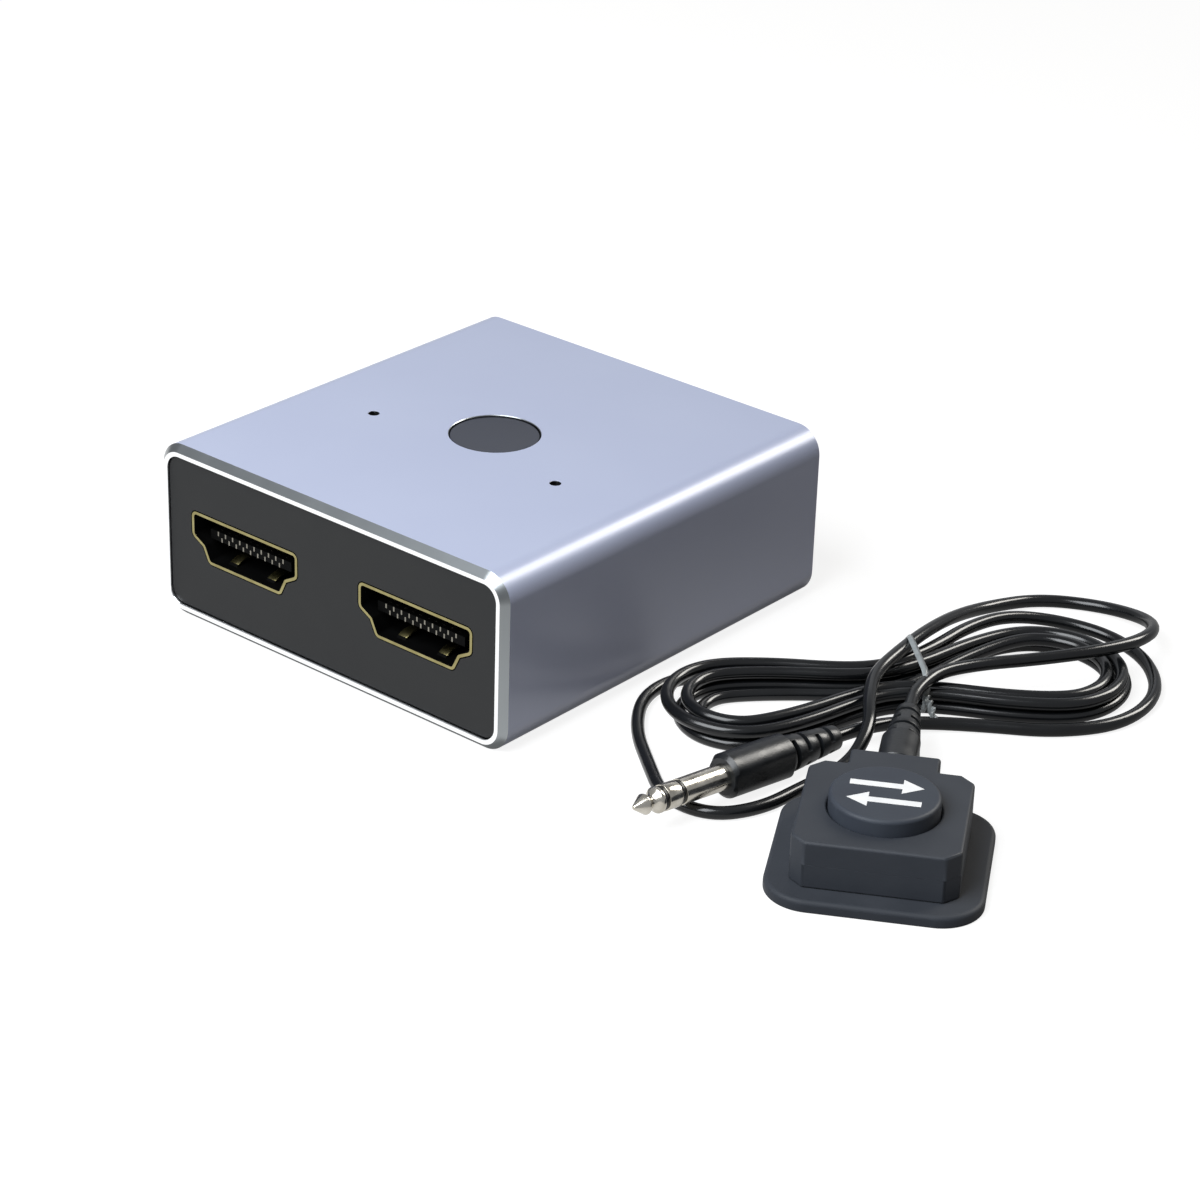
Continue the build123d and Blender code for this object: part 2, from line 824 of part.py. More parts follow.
def route_tube(name, points):
    radii = route_radii(points)
    path = FilletPolyline(*points, radius=radii)
    solid = tube(path)
    expected = path.length * pi * cord_diameter**2 / 4
    print(name, "radii", [round(radius, 1) for radius in radii])
    print(name, "length", round(path.length, 1))
    print(name, "volume", round(solid.volume / expected, 4), "of the plain one")
    return solid


def biarc(start, start_way, end, end_way):
    """Two arcs that leave start along start_way and reach end along end_way."""
    span = end - start
    both = start_way + end_way
    spread = 2 * (1 - start_way.dot(end_way))
    if spread < 1e-9:
        reach = span.dot(span) / (4 * span.dot(end_way))
    else:
        along = span.dot(both)
        reach = (-along + sqrt(along**2 + spread * span.dot(span))) / spread
    middle = (start + end + (start_way - end_way) * reach) * 0.5
    way = (end - end_way * reach - start - start_way * reach).normalized()
    return [Edge.make_tangent_arc(start, start_way, middle), Edge.make_tangent_arc(middle, way, end)]


def hank_stations():
    """Point and direction at both ends and the waist of each run, from the outermost run in and out again.

    The runs lie in two layers: the lower one winds inwards, the middle run climbs, and the upper one
    winds outwards. Even runs are on the +y side and head for +x.
    """
    lower = cord_diameter / 2 + hank_floor_gap
    middle_run = (hank_run_count - 1) // 2
    stations = []
    for run in range(hank_run_count):
        place = abs(run - middle_run)
        side = 1 if run % 2 == 0 else -1
        left = (-hank_left_length, side * (hank_left_offset + place * hank_run_spacing))
        waist = (0, side * (hank_waist_offset + place * hank_run_spacing))
        right = (hank_right_length, side * (hank_right_offset + place * hank_run_spacing))
        ends = [left, waist, right] if side > 0 else [right, waist, left]
        for index, (x, y) in enumerate(ends):
            share = (index / 2 if run == middle_run else float(run > middle_run))
            stations.append((Vector(x, y, lower + share * hank_layer_spacing), Vector(side, 0, 0)))
    return stations[:-1]


def hank_path():
    """The wound cord as one wire, with a straight cord diameter at each end."""
    stations = hank_stations()
    first, first_way = stations[0]
    last, last_way = stations[-1]
    edges = [Edge.make_line(first - first_way * cord_diameter, first)]
    for (start, start_way), (end, end_way) in zip(stations, stations[1:]):
        edges += biarc(start, start_way, end, end_way)
    edges.append(Edge.make_line(last, last + last_way * cord_diameter))
    return Wire(edges)


def least_gap(path):
    """The least clear distance between stretches of the cord that aren't next to each other."""
    count = int(path.length / cord_diameter * diameter_sample_count)
    points = [tuple(path @ (index / count)) for index in range(count + 1)]
    away = diameter_sample_count * skipped_diameter_count
    least = path.length
    for index, (x, y, z) in enumerate(points):
        for u, v, w in points[index + away:]:
            least = min(least, sqrt((x - u) ** 2 + (y - v) ** 2 + (z - w) ** 2))
    return least - cord_diameter


def hank_tie():
    """A band round the waist, with its twisted tail on the side away from the box."""
    outer_run = hank_waist_offset + (hank_run_count - 1) / 2 * hank_run_spacing
    high_y = outer_run + cord_diameter / 2 + tie_side_clearance
    low_y = hank_run_spacing - high_y
    crossing_top = max(z for x, y, z in route_to_hank) + cord_diameter / 2
    inner_top = crossing_top + tie_top_clearance
    outer = Rectangle(high_y - low_y + 2 * tie_thickness, inner_top + tie_thickness)
    outer = fillet(outer.vertices(), tie_corner_radius)
    inner = Rectangle(high_y - low_y, inner_top - tie_thickness)
    inner = fillet(inner.vertices(), tie_corner_radius - tie_thickness)
    middle = Plane.YZ.offset(tie_place) * Pos((high_y + low_y) / 2, (inner_top + tie_thickness) / 2)
    band = extrude(middle * (outer - inner), tie_width / 2, both=True)
    tail_middle = low_y - (tie_thickness + tie_tail_length) / 2
    tail = Cylinder(tie_tail_diameter / 2, tie_tail_length)
    return band + Pos(tie_place, tail_middle, tie_tail_height) * Rot(90, 0, 0) * tail


def along(start, way):
    """A frame at start whose X axis runs along way, with its Z axis as upright as it can be."""
    side = Vector(0, 0, 1).cross(way)
    return Plane(origin=start, x_dir=way, z_dir=way.cross(side)).location


hank_frame = Pos(*hank_place, 0) * Rot(0, 0, hank_angle)
relief_end = Vector(*route_to_hank[0])
relief_turn = Rot(0, 0, remote_angle - hank_angle)
relief_foot = Pos(relief_end.X, relief_end.Y, 0)
remote_frame = hank_frame * relief_foot * relief_turn * Pos(0, -(neck_face + boot_end), 0)
relief_frame = remote_frame * Pos(0, neck_face, relief_axis_height) * Rot(0, 0, 90)
plug_way = Vector(*plug_direction).normalized()
plug_frame = hank_frame * along(Vector(*route_to_plug[-1]), -plug_way) * Pos(-plug_boot_end, 0, 0)

save("housing_sleeve", housing_sleeve())
save("front_panel", front_panel())
save("rear_panel", rear_panel())
save("main_board", main_board())
save("switch_chip", switch_chip())
save("board_crystal", board_crystal())
save("board_resistors", *board_resistors())
save("board_capacitors", *board_capacitors())
save("status_lamps", *status_lamps())
save("light_pipe_left", light_pipe(-1))
save("light_pipe_right", light_pipe(1))
save("box_button", box_button())

contact_strips = socket_contacts()
insulator_part = socket_insulator(contact_strips)
shell_part = socket_shell()
for socket_name, socket_place in socket_places().items():
    save(f"{socket_name}_shell", socket_place * shell_part)
    save(f"{socket_name}_insulator", socket_place * insulator_part)
    save(f"{socket_name}_contacts", *[socket_place * strip for strip in contact_strips])

port_body, port_terminals = remote_port()
save("remote_port_body", port_body)
save("remote_port_contacts", *port_terminals)

for piece, part in zip(("body", "plunger", "dome"), box_tact()):
    save(f"box_tact_{piece}", Pos(0, 0, board_top) * part)
for piece, part in zip(("body", "plunger", "dome"), remote_tact()):
    save(f"remote_tact_{piece}", remote_frame * Pos(0, 0, remote_board_top) * part)

save("remote_plate", remote_frame * remote_plate())
save("remote_adhesive_pad", remote_frame * remote_pad())
save("remote_case_lower", remote_frame * remote_case_lower())
save("remote_case_upper", remote_frame * remote_case_upper())
save("remote_board", remote_frame * remote_board())
save("remote_button", remote_frame * remote_button())
save("remote_strain_relief", relief_frame * strain_relief())

save("plug_body", plug_frame * plug_body())
pin_sleeve, pin_ring, pin_tip, pin_bands = plug_pin()
save("plug_sleeve", plug_frame * pin_sleeve)
save("plug_ring", plug_frame * pin_ring)
save("plug_tip", plug_frame * pin_tip)
save("plug_insulators", *[plug_frame * band for band in pin_bands])

hank_wire = hank_path()
hank_gap = least_gap(hank_wire)
print("hank length", round(hank_wire.length, 1), "least gap to itself", round(hank_gap, 2))
print("hank gap is", "enough" if hank_gap > least_gap_allowed else "too small")
hank_solid = tube(hank_wire)
hank_expected = hank_wire.length * pi * cord_diameter**2 / 4
print("hank volume", round(hank_solid.volume / hank_expected, 4), "of the plain one")
save("lead_hank", hank_frame * hank_solid)
save("lead_from_remote", hank_frame * route_tube("lead_from_remote", route_to_hank))
save("lead_to_plug", hank_frame * route_tube("lead_to_plug", route_to_plug))
save("hank_tie", hank_frame * hank_tie())
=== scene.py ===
from math import cos, pi, radians, sin

import bmesh
import bpy
import numpy as np
from mathutils import Matrix, Vector


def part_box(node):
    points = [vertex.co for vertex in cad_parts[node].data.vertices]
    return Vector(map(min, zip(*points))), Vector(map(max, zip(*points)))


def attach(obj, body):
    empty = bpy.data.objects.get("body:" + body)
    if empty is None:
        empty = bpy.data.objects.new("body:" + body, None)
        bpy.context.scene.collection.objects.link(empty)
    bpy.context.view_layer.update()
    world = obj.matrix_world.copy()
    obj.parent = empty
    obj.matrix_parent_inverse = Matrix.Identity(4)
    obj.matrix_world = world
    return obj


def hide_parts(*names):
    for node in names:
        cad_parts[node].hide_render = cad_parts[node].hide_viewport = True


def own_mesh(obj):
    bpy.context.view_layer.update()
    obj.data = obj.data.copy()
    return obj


# HDMI switch box with its wired remote button, lit and finished as in the studio picture.
# Metres, +Z up, front face towards -Y, origin in the middle of the box's underside.

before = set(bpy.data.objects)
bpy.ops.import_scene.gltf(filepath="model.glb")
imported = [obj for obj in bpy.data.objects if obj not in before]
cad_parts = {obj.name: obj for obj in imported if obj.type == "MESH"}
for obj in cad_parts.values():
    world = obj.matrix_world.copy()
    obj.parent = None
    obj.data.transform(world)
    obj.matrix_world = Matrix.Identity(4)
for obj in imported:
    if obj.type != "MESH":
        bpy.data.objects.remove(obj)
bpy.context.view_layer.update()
mm = 0.001


# Camera: a long lens looks down on the front right corner of the box. It is turned a little about
# its own line of sight, as the picture is.
camera_place = Vector((207.36, -233.0, 156.22)) * mm
camera_azimuth = radians(39.65)
camera_elevation = radians(26.56)
camera_roll = radians(1.85)
camera_lens = 102.77
camera_film_width = 36

camera_data = bpy.data.cameras.new("camera")
camera_data.sensor_fit = "HORIZONTAL"
camera_data.sensor_width = camera_film_width
camera_data.lens = camera_lens
camera = bpy.data.objects.new("camera", camera_data)
bpy.context.scene.collection.objects.link(camera)
camera.matrix_world = (
    Matrix.Translation(camera_place)
    @ Matrix.Rotation(camera_azimuth, 4, "Z")
    @ Matrix.Rotation(pi / 2 - camera_elevation, 4, "X")
    @ Matrix.Rotation(camera_roll, 4, "Z")
)
bpy.context.scene.camera = camera


# Housing sleeve: an extruded aluminium tube, bead-blasted and anodised a pale violet blue. Its ends are
# milled to a chamfer and a white rim after anodising, and the button hole has a hair-thin cut edge. The
# chamfer and that edge are painted a darker grey, as painted shade of their reflections, and the walls of
# the two light holes are painted near black, as painted shade inside the holes.
sleeve_wall = 1.2 * mm
sleeve_corner = 2.8 * mm
sleeve_chamfer = 0.7 * mm
sleeve_lip = 0.5 * mm
corner_points = 17
lathe_columns = 96
button_hole_radius = 4.6 * mm
button_hole_cone = 0.06 * mm
light_hole_radius = 0.55 * mm
light_places = (Vector((-12.1, -4.7)) * mm, Vector((12.1, -4.7)) * mm)
edge_break = 0.07 * mm
sharp_turn = radians(30)
merge_distance = 0.0001 * mm
break_segments = 2
cloud_share = (0.3, 0.7)
cloud_detail = 3.0
grain_detail = 2.0


def linear(colour):
    """A colour for the shaders from an sRGB hex value."""
    parts = np.array([int(colour[start:start + 2], 16) for start in (1, 3, 5)]) / 255
    values = np.where(parts <= 0.04045, parts / 12.92, ((parts + 0.055) / 1.055) ** 2.4)
    return (*values.tolist(), 1.0)


def add(tree, kind, inputs=(), **settings):
    """Adds a node. Its inputs are given by name or number, as a plain value or as another node's output."""
    node = tree.nodes.new("ShaderNode" + kind)
    for key, value in settings.items():
        setattr(node, key, value)
    for key, value in dict(inputs).items():
        if isinstance(value, bpy.types.NodeSocket):
            tree.links.new(value, node.inputs[key])
        else:
            node.inputs[key].default_value = value
    return node


def skin(name, tones, roughness, cloud, grain, depth, **sockets):
    """A material whose colour and roughness wander between two values in clouds, with a grain in relief.

    Cloud and grain sizes and the depth of the relief are in millimetres, as on the real surface.
    """
    made = bpy.data.materials.new(name)
    made.use_nodes = True
    tree = made.node_tree
    tree.nodes.clear()
    place = add(tree, "TexCoord").outputs["Object"]
    clouds = add(tree, "TexNoise", {"Vector": place, "Scale": 1 / (cloud * mm), "Detail": cloud_detail})
    spread = add(tree, "MapRange", {
        "Value": clouds.outputs["Fac"], "From Min": cloud_share[0], "From Max": cloud_share[1],
    })
    share = spread.outputs["Result"]
    tone = add(tree, "Mix", {"Factor": share, 6: linear(tones[0]), 7: linear(tones[1])}, data_type="RGBA")
    rough = add(tree, "MapRange", {"Value": share, "To Min": roughness[0], "To Max": roughness[1]})
    grains = add(tree, "TexNoise", {"Vector": place, "Scale": 1 / (grain * mm), "Detail": grain_detail})
    relief = add(tree, "Bump", {"Height": grains.outputs["Fac"], "Distance": depth * mm})
    shader = add(tree, "BsdfPrincipled", {
        "Base Color": tone.outputs[2], "Roughness": rough.outputs["Result"],
        "Normal": relief.outputs["Normal"],
    })
    for key, value in sockets.items():
        shader.inputs[key.replace("_", " ")].default_value = value
    add(tree, "OutputMaterial", {"Surface": shader.outputs["BSDF"]})
    return made


def anodised_aluminium():
    """Bead-blasted and dyed: an even satin under a clear oxide layer, which gives the round edges a crisp
    gleam. Blasting leaves pits of about 0.1 mm, drawn here at 0.2 mm so that they show."""
    return skin(
        "anodised_aluminium", ("#B7BFDA", "#BAC2DC"), (0.36, 0.40), 14, 0.2, 0.004,
        Metallic=0.04, Specular_IOR_Level=0.4, Coat_Weight=0.27, Coat_Roughness=0.2, Coat_IOR=1.6,
    )


def milled_aluminium():
    """The flat rim, faced with a diamond tool after dyeing: bare, mirror-like metal."""
    return skin("milled_aluminium", ("#F4F5F6", "#F9FAFB"), (0.13, 0.16), 3, 0.25, 0.0003, Metallic=1.0)


def chamfer_metal_painted_shade():
    """The chamfer, left by a coarser cutter: softer reflections, and a greyer colour than the rim's same
    bare metal, which is painted shade of its reflections.
    """
    return skin("chamfer_metal_painted_shade", ("#8E9294", "#919597"), (0.28, 0.30), 3, 0.25, 0.0001, Metallic=1.0)


def rounded_loop(half_width, half_height, radius, inset=0.0):
    """Points and outward normals round a rectangle with round corners, shrunk by an inset.

    Each corner is a quarter circle about a centre that the inset leaves in place; the flats need no points.
    """
    quarter = np.linspace(0, pi / 2, corner_points)
    angle = (quarter + np.arange(4)[:, None] * pi / 2).ravel()
    middle = np.repeat(np.arange(4) * pi / 2 + pi / 4, corner_points)
    centre = np.stack([
        np.sign(np.cos(middle)) * (half_width - radius), np.sign(np.sin(middle)) * (half_height - radius),
    ], axis=-1)
    normal = np.stack([np.cos(angle), np.sin(angle)], axis=-1)
    return centre + normal * (radius - inset), normal


def surface(name, grid, close_rows=False, close_columns=True, caps=False, marks=None):
    """A closed mesh on a grid of points: every point is joined to the next in its row and its column.

    Closed directions join their last point to their first, caps close the first and last rows, and marks
    give each row of faces its material number. Points in one place are merged, so poles close.
    """
    rows, columns = grid.shape[:2]
    index = np.arange(rows * columns).reshape(rows, columns)
    below = np.roll(index, -1, axis=0)
    faces = np.stack([index, np.roll(index, -1, axis=1), np.roll(below, -1, axis=1), below], axis=-1)
    face_rows = rows if close_rows else rows - 1
    faces = faces[:face_rows, :columns if close_columns else columns - 1]
    numbers = np.repeat(np.zeros(face_rows, int) if marks is None else np.array(marks), faces.shape[1])
    faces = faces.reshape(-1, 4).tolist()
    if caps:
        faces += [index[0].tolist(), index[-1][::-1].tolist()]
        numbers = np.append(numbers, (numbers[0], numbers[-1]))
    mesh = bpy.data.meshes.new(name)
    mesh.from_pydata(grid.reshape(-1, 3).tolist(), [], faces)
    mesh.polygons.foreach_set("material_index", numbers.astype(np.int32))
    made = bmesh.new()
    made.from_mesh(mesh)
    bmesh.ops.remove_doubles(made, verts=made.verts, dist=merge_distance)
    bmesh.ops.recalc_face_normals(made, faces=made.faces)
    made.to_mesh(mesh)
    made.free()
    mesh.shade_smooth()
    piece = bpy.data.objects.new(name, mesh)
    bpy.context.scene.collection.objects.link(piece)
    return piece


def lathe(profile, columns=lathe_columns):
    """A profile of (radius, height) pairs turned about Z: x and y are the radius times the cosine and the
    sine of the angle, z is the height."""
    radius, height = np.array(profile, float).T[:, :, None]
    angle = np.linspace(0, 2 * pi, columns, endpoint=False)
    return np.stack([radius * np.cos(angle), radius * np.sin(angle), height + 0 * angle], axis=-1)


def moved(grid, matrix):
    """The grid's points, turned and shifted by a matrix."""
    turn = np.array(matrix.to_3x3())
    return grid @ turn.T + np.array(matrix.translation)


def settle(piece):
    """Makes the piece's modifiers part of its mesh."""
    solid = bpy.data.meshes.new_from_object(piece.evaluated_get(bpy.context.evaluated_depsgraph_get()))
    piece.modifiers.clear()
    piece.data = solid


def drill(piece, *cutters):
    """Cuts the cutters out of the piece."""
    for cutter in cutters:
        cut = piece.modifiers.new("cut", "BOOLEAN")
        cut.operation = "DIFFERENCE"
        cut.object = cutter
    settle(piece)
    for cutter in cutters:
        bpy.data.objects.remove(cutter)


def soften(piece, width, least_angle=28):
    """Breaks the edges that turn by more than the least angle, and keeps the flats flat in shading."""
    bevel = piece.modifiers.new("edge break", "BEVEL")
    bevel.width = width
    bevel.segments = break_segments
    bevel.limit_method = "ANGLE"
    bevel.angle_limit = radians(least_angle)
    bevel.use_clamp_overlap = True
    normals = piece.modifiers.new("flat faces", "WEIGHTED_NORMAL")
    normals.keep_sharp = True
    return piece


def fit(piece, body, slot, materials, *nodes):
    """Gives a new piece its materials and body, and hides the nodes that it stands for. Its slot is not
    used.
    """
    piece.data.materials.clear()
    for material in materials:
        piece.data.materials.append(material)
    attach(piece, body)
    if nodes:
        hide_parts(*nodes)
    return piece


def sleeve_grid(low, high):
    """Rounded rectangles across the box, carried along Y on a closed path of (place, inset) stations: the
    outside, the rear chamfer, rim and lip, the bore, and the front lip, rim and chamfer."""
    half_width = (high.x - low.x) / 2
    half_height = (high.z - low.z) / 2
    stations = (
        (low.y + sleeve_chamfer, 0), (high.y - sleeve_chamfer, 0), (high.y, sleeve_chamfer),
        (high.y, sleeve_wall), (high.y - sleeve_lip, sleeve_wall), (low.y + sleeve_lip, sleeve_wall),
        (low.y, sleeve_wall), (low.y, sleeve_chamfer),
    )
    rows = []
    for place, inset in stations:
        loop, _ = rounded_loop(half_width, half_height, sleeve_corner, inset)
        rows.append(np.stack([loop[:, 0], np.full(len(loop), place), loop[:, 1] + half_height], axis=-1))
    return np.array(rows)


def hole_cutter(radius, cone, place, top, mark):
    """A pin through the wall with a cone at the surface: the hole that it leaves has the marked finish."""
    deep = top - 2 * sleeve_wall
    high = top + sleeve_wall
    profile = (
        (0, deep), (radius, deep), (radius, top - cone), (radius + cone, top), (radius + cone, high),
        (0, high),
    )
    shift = Matrix.Translation((place[0], place[1], 0))
    cutter = surface("cutter", moved(lathe(profile), shift), marks=[mark] * (len(profile) - 1))
    for material in sleeve_finishes:
        cutter.data.materials.append(material)
    return cutter


def smoked_acrylic_and_hole_shade():
    """The light pipes' acrylic, dyed almost black. The walls of the two light holes take it too, as painted
    shade inside the holes.
    """
    return skin("smoked_acrylic_and_hole_shade", ("#050506", "#0A0A0C"), (0.3, 0.4), 1, 0.2, 0.001, IOR=1.49)


anodised = anodised_aluminium()
acrylic_and_hole_shade = smoked_acrylic_and_hole_shade()
# The chamfer's darker grey is painted shade of its reflections; the near-black lining of the light holes is
# painted shade inside them.
sleeve_finishes = (anodised, milled_aluminium(), chamfer_metal_painted_shade(), acrylic_and_hole_shade)
sleeve_low, sleeve_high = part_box("housing_sleeve")
sleeve = surface(
    "sleeve", sleeve_grid(sleeve_low, sleeve_high), close_rows=True, marks=(0, 2, 1, 1, 0, 1, 1, 2),
)
for material in sleeve_finishes:
    sleeve.data.materials.append(material)
# The light holes' walls get the near-black acrylic: painted shade inside the holes.
drill(
    sleeve,
    hole_cutter(button_hole_radius, button_hole_cone, (0, 0), sleeve_high.z, 2),
    *[hole_cutter(light_hole_radius, 0, place, sleeve_high.z, 3) for place in light_places],
)
sleeve.data.set_sharp_from_angle(angle=sharp_turn)
soften(sleeve, edge_break, least_angle=60)
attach(sleeve, "root")
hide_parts("housing_sleeve")


# Board rails: the ledges along the sleeve's inner walls that the circuit board slides between. They are
# part of the same extrusion, so they have its finish.
rail_thickness = 0.9 * mm
rail_reach = 1.5 * mm
board_slot = 0.1 * mm
board_low, board_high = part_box("main_board")
panel_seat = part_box("front_panel")[1].y


def blocks(name, lows, highs):
    """Boxes in one mesh, each between its low and its high corner: low + (high - low) times the corners of
    a unit cube."""
    lows, highs = np.atleast_2d(lows)[:, None], np.atleast_2d(highs)[:, None]
    cube = np.array([(0, 0, 0), (1, 0, 0), (1, 1, 0), (0, 1, 0), (0, 0, 1), (1, 0, 1), (1, 1, 1), (0, 1, 1)])
    sides = np.array([(0, 3, 2, 1), (4, 5, 6, 7), (0, 1, 5, 4), (1, 2, 6, 5), (2, 3, 7, 6), (3, 0, 4, 7)])
    points = (lows + (highs - lows) * cube).reshape(-1, 3)
    faces = (sides + np.arange(len(lows))[:, None, None] * len(cube)).reshape(-1, 4)
    mesh = bpy.data.meshes.new(name)
    mesh.from_pydata(points.tolist(), [], faces.tolist())
    piece = bpy.data.objects.new(name, mesh)
    bpy.context.scene.collection.objects.link(piece)
    return piece


rail_feet = {"upper": board_high.z + board_slot, "lower": board_low.z - board_slot - rail_thickness}
for side, side_name in ((-1, "left"), (1, "right")):
    inner_wall = side * (sleeve_high.x - sleeve_wall)
    near, far = sorted((inner_wall, inner_wall - side * rail_reach))
    for level, foot in rail_feet.items():
        low, high = (near, panel_seat, foot), (far, -panel_seat, foot + rail_thickness)
        rail = blocks(f"rail_{level}_{side_name}", low, high)
        fit(soften(rail, edge_break), "root", "anodised_sleeve", [anodised])


# End panels: charcoal ABS mouldings with a fine spark-eroded matt face, pressed into the sleeve's ends.
# Their cut-outs leave a thin dark gap round each socket.
panel_break = 0.05 * mm
triangle_gap = 0.001 * mm
flat_turn = radians(0.5)


def copy_of(node, edge, least_angle=28):
    """A smooth copy of a node's solid with its edges broken: its loose triangles are merged first, and
    the flat ones joined."""
    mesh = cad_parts[node].data.copy()
    if "custom_normal" in mesh.attributes:
        mesh.attributes.remove(mesh.attributes["custom_normal"])
    made = bmesh.new()
    made.from_mesh(mesh)
    bmesh.ops.remove_doubles(made, verts=made.verts, dist=triangle_gap)
    bmesh.ops.dissolve_limit(made, verts=made.verts, edges=made.edges, angle_limit=flat_turn)
    made.to_mesh(mesh)
    made.free()
    mesh.shade_smooth()
    piece = bpy.data.objects.new(node + "_finished", mesh)
    bpy.context.scene.collection.objects.link(piece)
    return soften(piece, edge, least_angle)


def abs_panel():
    """Spark-eroded mould texture of about 0.15 mm, drawn at 0.3 mm: dull charcoal with a faint sheen."""
    return skin("abs_panel", ("#191A1B", "#1D1E1F"), (0.48, 0.56), 6, 0.3, 0.003, Specular_IOR_Level=0.3)


panel_skin = abs_panel()
for node in ("front_panel", "rear_panel"):
    fit(copy_of(node, panel_break), "root", "panel_plastic", [panel_skin], node)


# Video sockets: folded shells with a thin gold flash on the mouth and the leaf springs, their other inner
# walls painted black as painted shade of the opening, a black moulded block with its tongue, and nineteen
# stamped contacts, pale over nickel.
shell_break = 0.04 * mm
mouth_depth = 0.12 * mm
spring_spacing = 5.2 * mm
spring_width = 1.1 * mm
spring_margin = 0.02 * mm
spring_lift = 0.12 * mm
spring_top = 0.9 * mm
shell_wall = 0.3 * mm
opening_height = 4.55 * mm
strip_pitch = 0.5 * mm
strip_width = 0.17 * mm
strip_count = 19
strip_height = 0.46 * mm
strip_proud = 0.03 * mm
tongue_thickness = 1.0 * mm
tongue_offset = 0.3 * mm


def gold_flash():
    """A thin flash over bright nickel: pale yellow, slightly uneven, with soft reflections."""
    return skin("gold_flash", ("#8C8358", "#A39B6E"), (0.24, 0.34), 1.5, 0.2, 0.002, Metallic=1.0)


def socket_nylon_and_shell_shade():
    """Glass-filled nylon: black and dull. The shells' inner walls take it too, as painted shade, so that the
    opening looks deep.
    """
    return skin("socket_nylon_and_shell_shade", ("#020202", "#040404"), (0.6, 0.7), 2, 0.12, 0.002, Specular_IOR_Level=0.06)


def contact_metal():
    """Stamped phosphor bronze under a pale plating, bright on its rubbed faces."""
    return skin("contact_metal", ("#7C7970", "#8E8B81"), (0.26, 0.34), 0.8, 0.1, 0.001, Metallic=1.0)


def dress(node, material):
    """Gives a node that shows as it is its finish."""
    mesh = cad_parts[node].data
    mesh.materials.clear()
    mesh.materials.append(material)


def gild_and_shade(shell, mouth, middle, floor_level):
    """Marks the shell's faces: gold at the mouth and on the springs, and black nylon on the other inner
    walls as painted shade of the opening. A spring stands between its lift and its top over the opening's
    floor."""
    mesh = shell.data
    centres = np.empty(3 * len(mesh.polygons))
    mesh.polygons.foreach_get("center", centres)
    x, y, z = centres.reshape(-1, 3).T
    at_mouth = np.abs(y - mouth) < mouth_depth
    under_spring = np.abs(np.abs(x - middle) - spring_spacing / 2) < spring_width / 2 + spring_margin
    on_spring = under_spring & (z > floor_level + spring_lift) & (z < floor_level + spring_top)
    mesh.polygons.foreach_set("material_index", np.where(at_mouth | on_spring, 0, 1).astype(np.int32))


gold = gold_flash()
nylon_and_shell_shade = socket_nylon_and_shell_shade()
contact_plating = contact_metal()
for socket_name in ("hdmi_in_left", "hdmi_in_right", "hdmi_out"):
    shell = copy_of(f"{socket_name}_shell", shell_break)
    # The shell's inner walls take the black nylon as painted shade; its mouth and springs stay gold.
    fit(shell, "root", "socket_gold", [gold, nylon_and_shell_shade], f"{socket_name}_shell")
    shell_low, shell_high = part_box(f"{socket_name}_shell")
    to_front = socket_name != "hdmi_out"
    mouth = shell_low.y if to_front else shell_high.y
    middle = (shell_low.x + shell_high.x) / 2
    gild_and_shade(shell, mouth, middle, shell_high.z - shell_wall - opening_height)
    dress(f"{socket_name}_insulator", nylon_and_shell_shade)
    dress(f"{socket_name}_contacts", contact_plating)
    tongue_low, tongue_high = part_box(f"{socket_name}_insulator")
    tongue_face = tongue_low.y if to_front else tongue_high.y
    tongue_middle = shell_high.z - shell_wall - opening_height / 2 + tongue_offset
    number = np.arange(strip_count)
    x = middle + (number - (strip_count - 1) / 2) * strip_pitch
    z = tongue_middle + np.where(number % 2 == 0, 1, -1) * (tongue_thickness - strip_height) / 2
    centre = np.stack([x, np.full(strip_count, tongue_face), z], axis=-1)
    half = np.array((strip_width, 2 * strip_proud, strip_height)) / 2
    strips = blocks(f"{socket_name}_strip_ends", centre - half, centre + half)
    fit(strips, "root", "contact_gold", [contact_plating])


# Main board and what it carries: a glass-epoxy board under green solder mask with the switching chip, its
# crystal, capacitors, resistors, two lamps and the push switch, all reflow soldered.
def solder_mask():
    """Green lacquer over the weave of the glass cloth, which shows as a faint net about 0.5 mm wide."""
    return skin("solder_mask", ("#0E4A2C", "#146038"), (0.25, 0.35), 5, 0.5, 0.006, Coat_Weight=0.4)


def board_finishes():
    """Finishes of the parts on the board, by node: dull moulded epoxy and nylon, fired ceramic with a faint
    sheen, a smooth glass glaze, tinned steel like dull silver, and glossy pale resin over the lamps."""
    epoxy = skin("chip_epoxy", ("#17181A", "#1F2022"), (0.5, 0.62), 2, 0.08, 0.003)
    ceramic = skin("capacitor_ceramic", ("#8A6A4A", "#9C7A57"), (0.35, 0.45), 0.8, 0.06, 0.001)
    glaze = skin("resistor_glaze", ("#101113", "#191A1D"), (0.2, 0.3), 0.8, 0.06, 0.001)
    steel = skin("tinned_steel", ("#B7B8B8", "#CFCFCE"), (0.25, 0.36), 1.2, 0.1, 0.001, Metallic=1.0)
    lamp = skin("lamp_resin", ("#D9D4B8", "#E8E4CE"), (0.2, 0.3), 0.8, 0.06, 0.001)
    switch = skin("switch_nylon", ("#1B1C1E", "#242527"), (0.4, 0.5), 1.5, 0.1, 0.002)
    port = skin("port_plastic", ("#131415", "#1B1C1D"), (0.38, 0.48), 1.5, 0.12, 0.003)
    return {
        "switch_chip": epoxy, "board_crystal": steel, "board_capacitors": ceramic, "board_resistors": glaze,
        "status_lamps": lamp, "box_tact_body": switch, "box_tact_dome": steel, "box_tact_plunger": switch,
        "remote_tact_body": switch, "remote_tact_dome": steel, "remote_tact_plunger": switch,
        "remote_port_body": port, "remote_port_contacts": steel,
    }


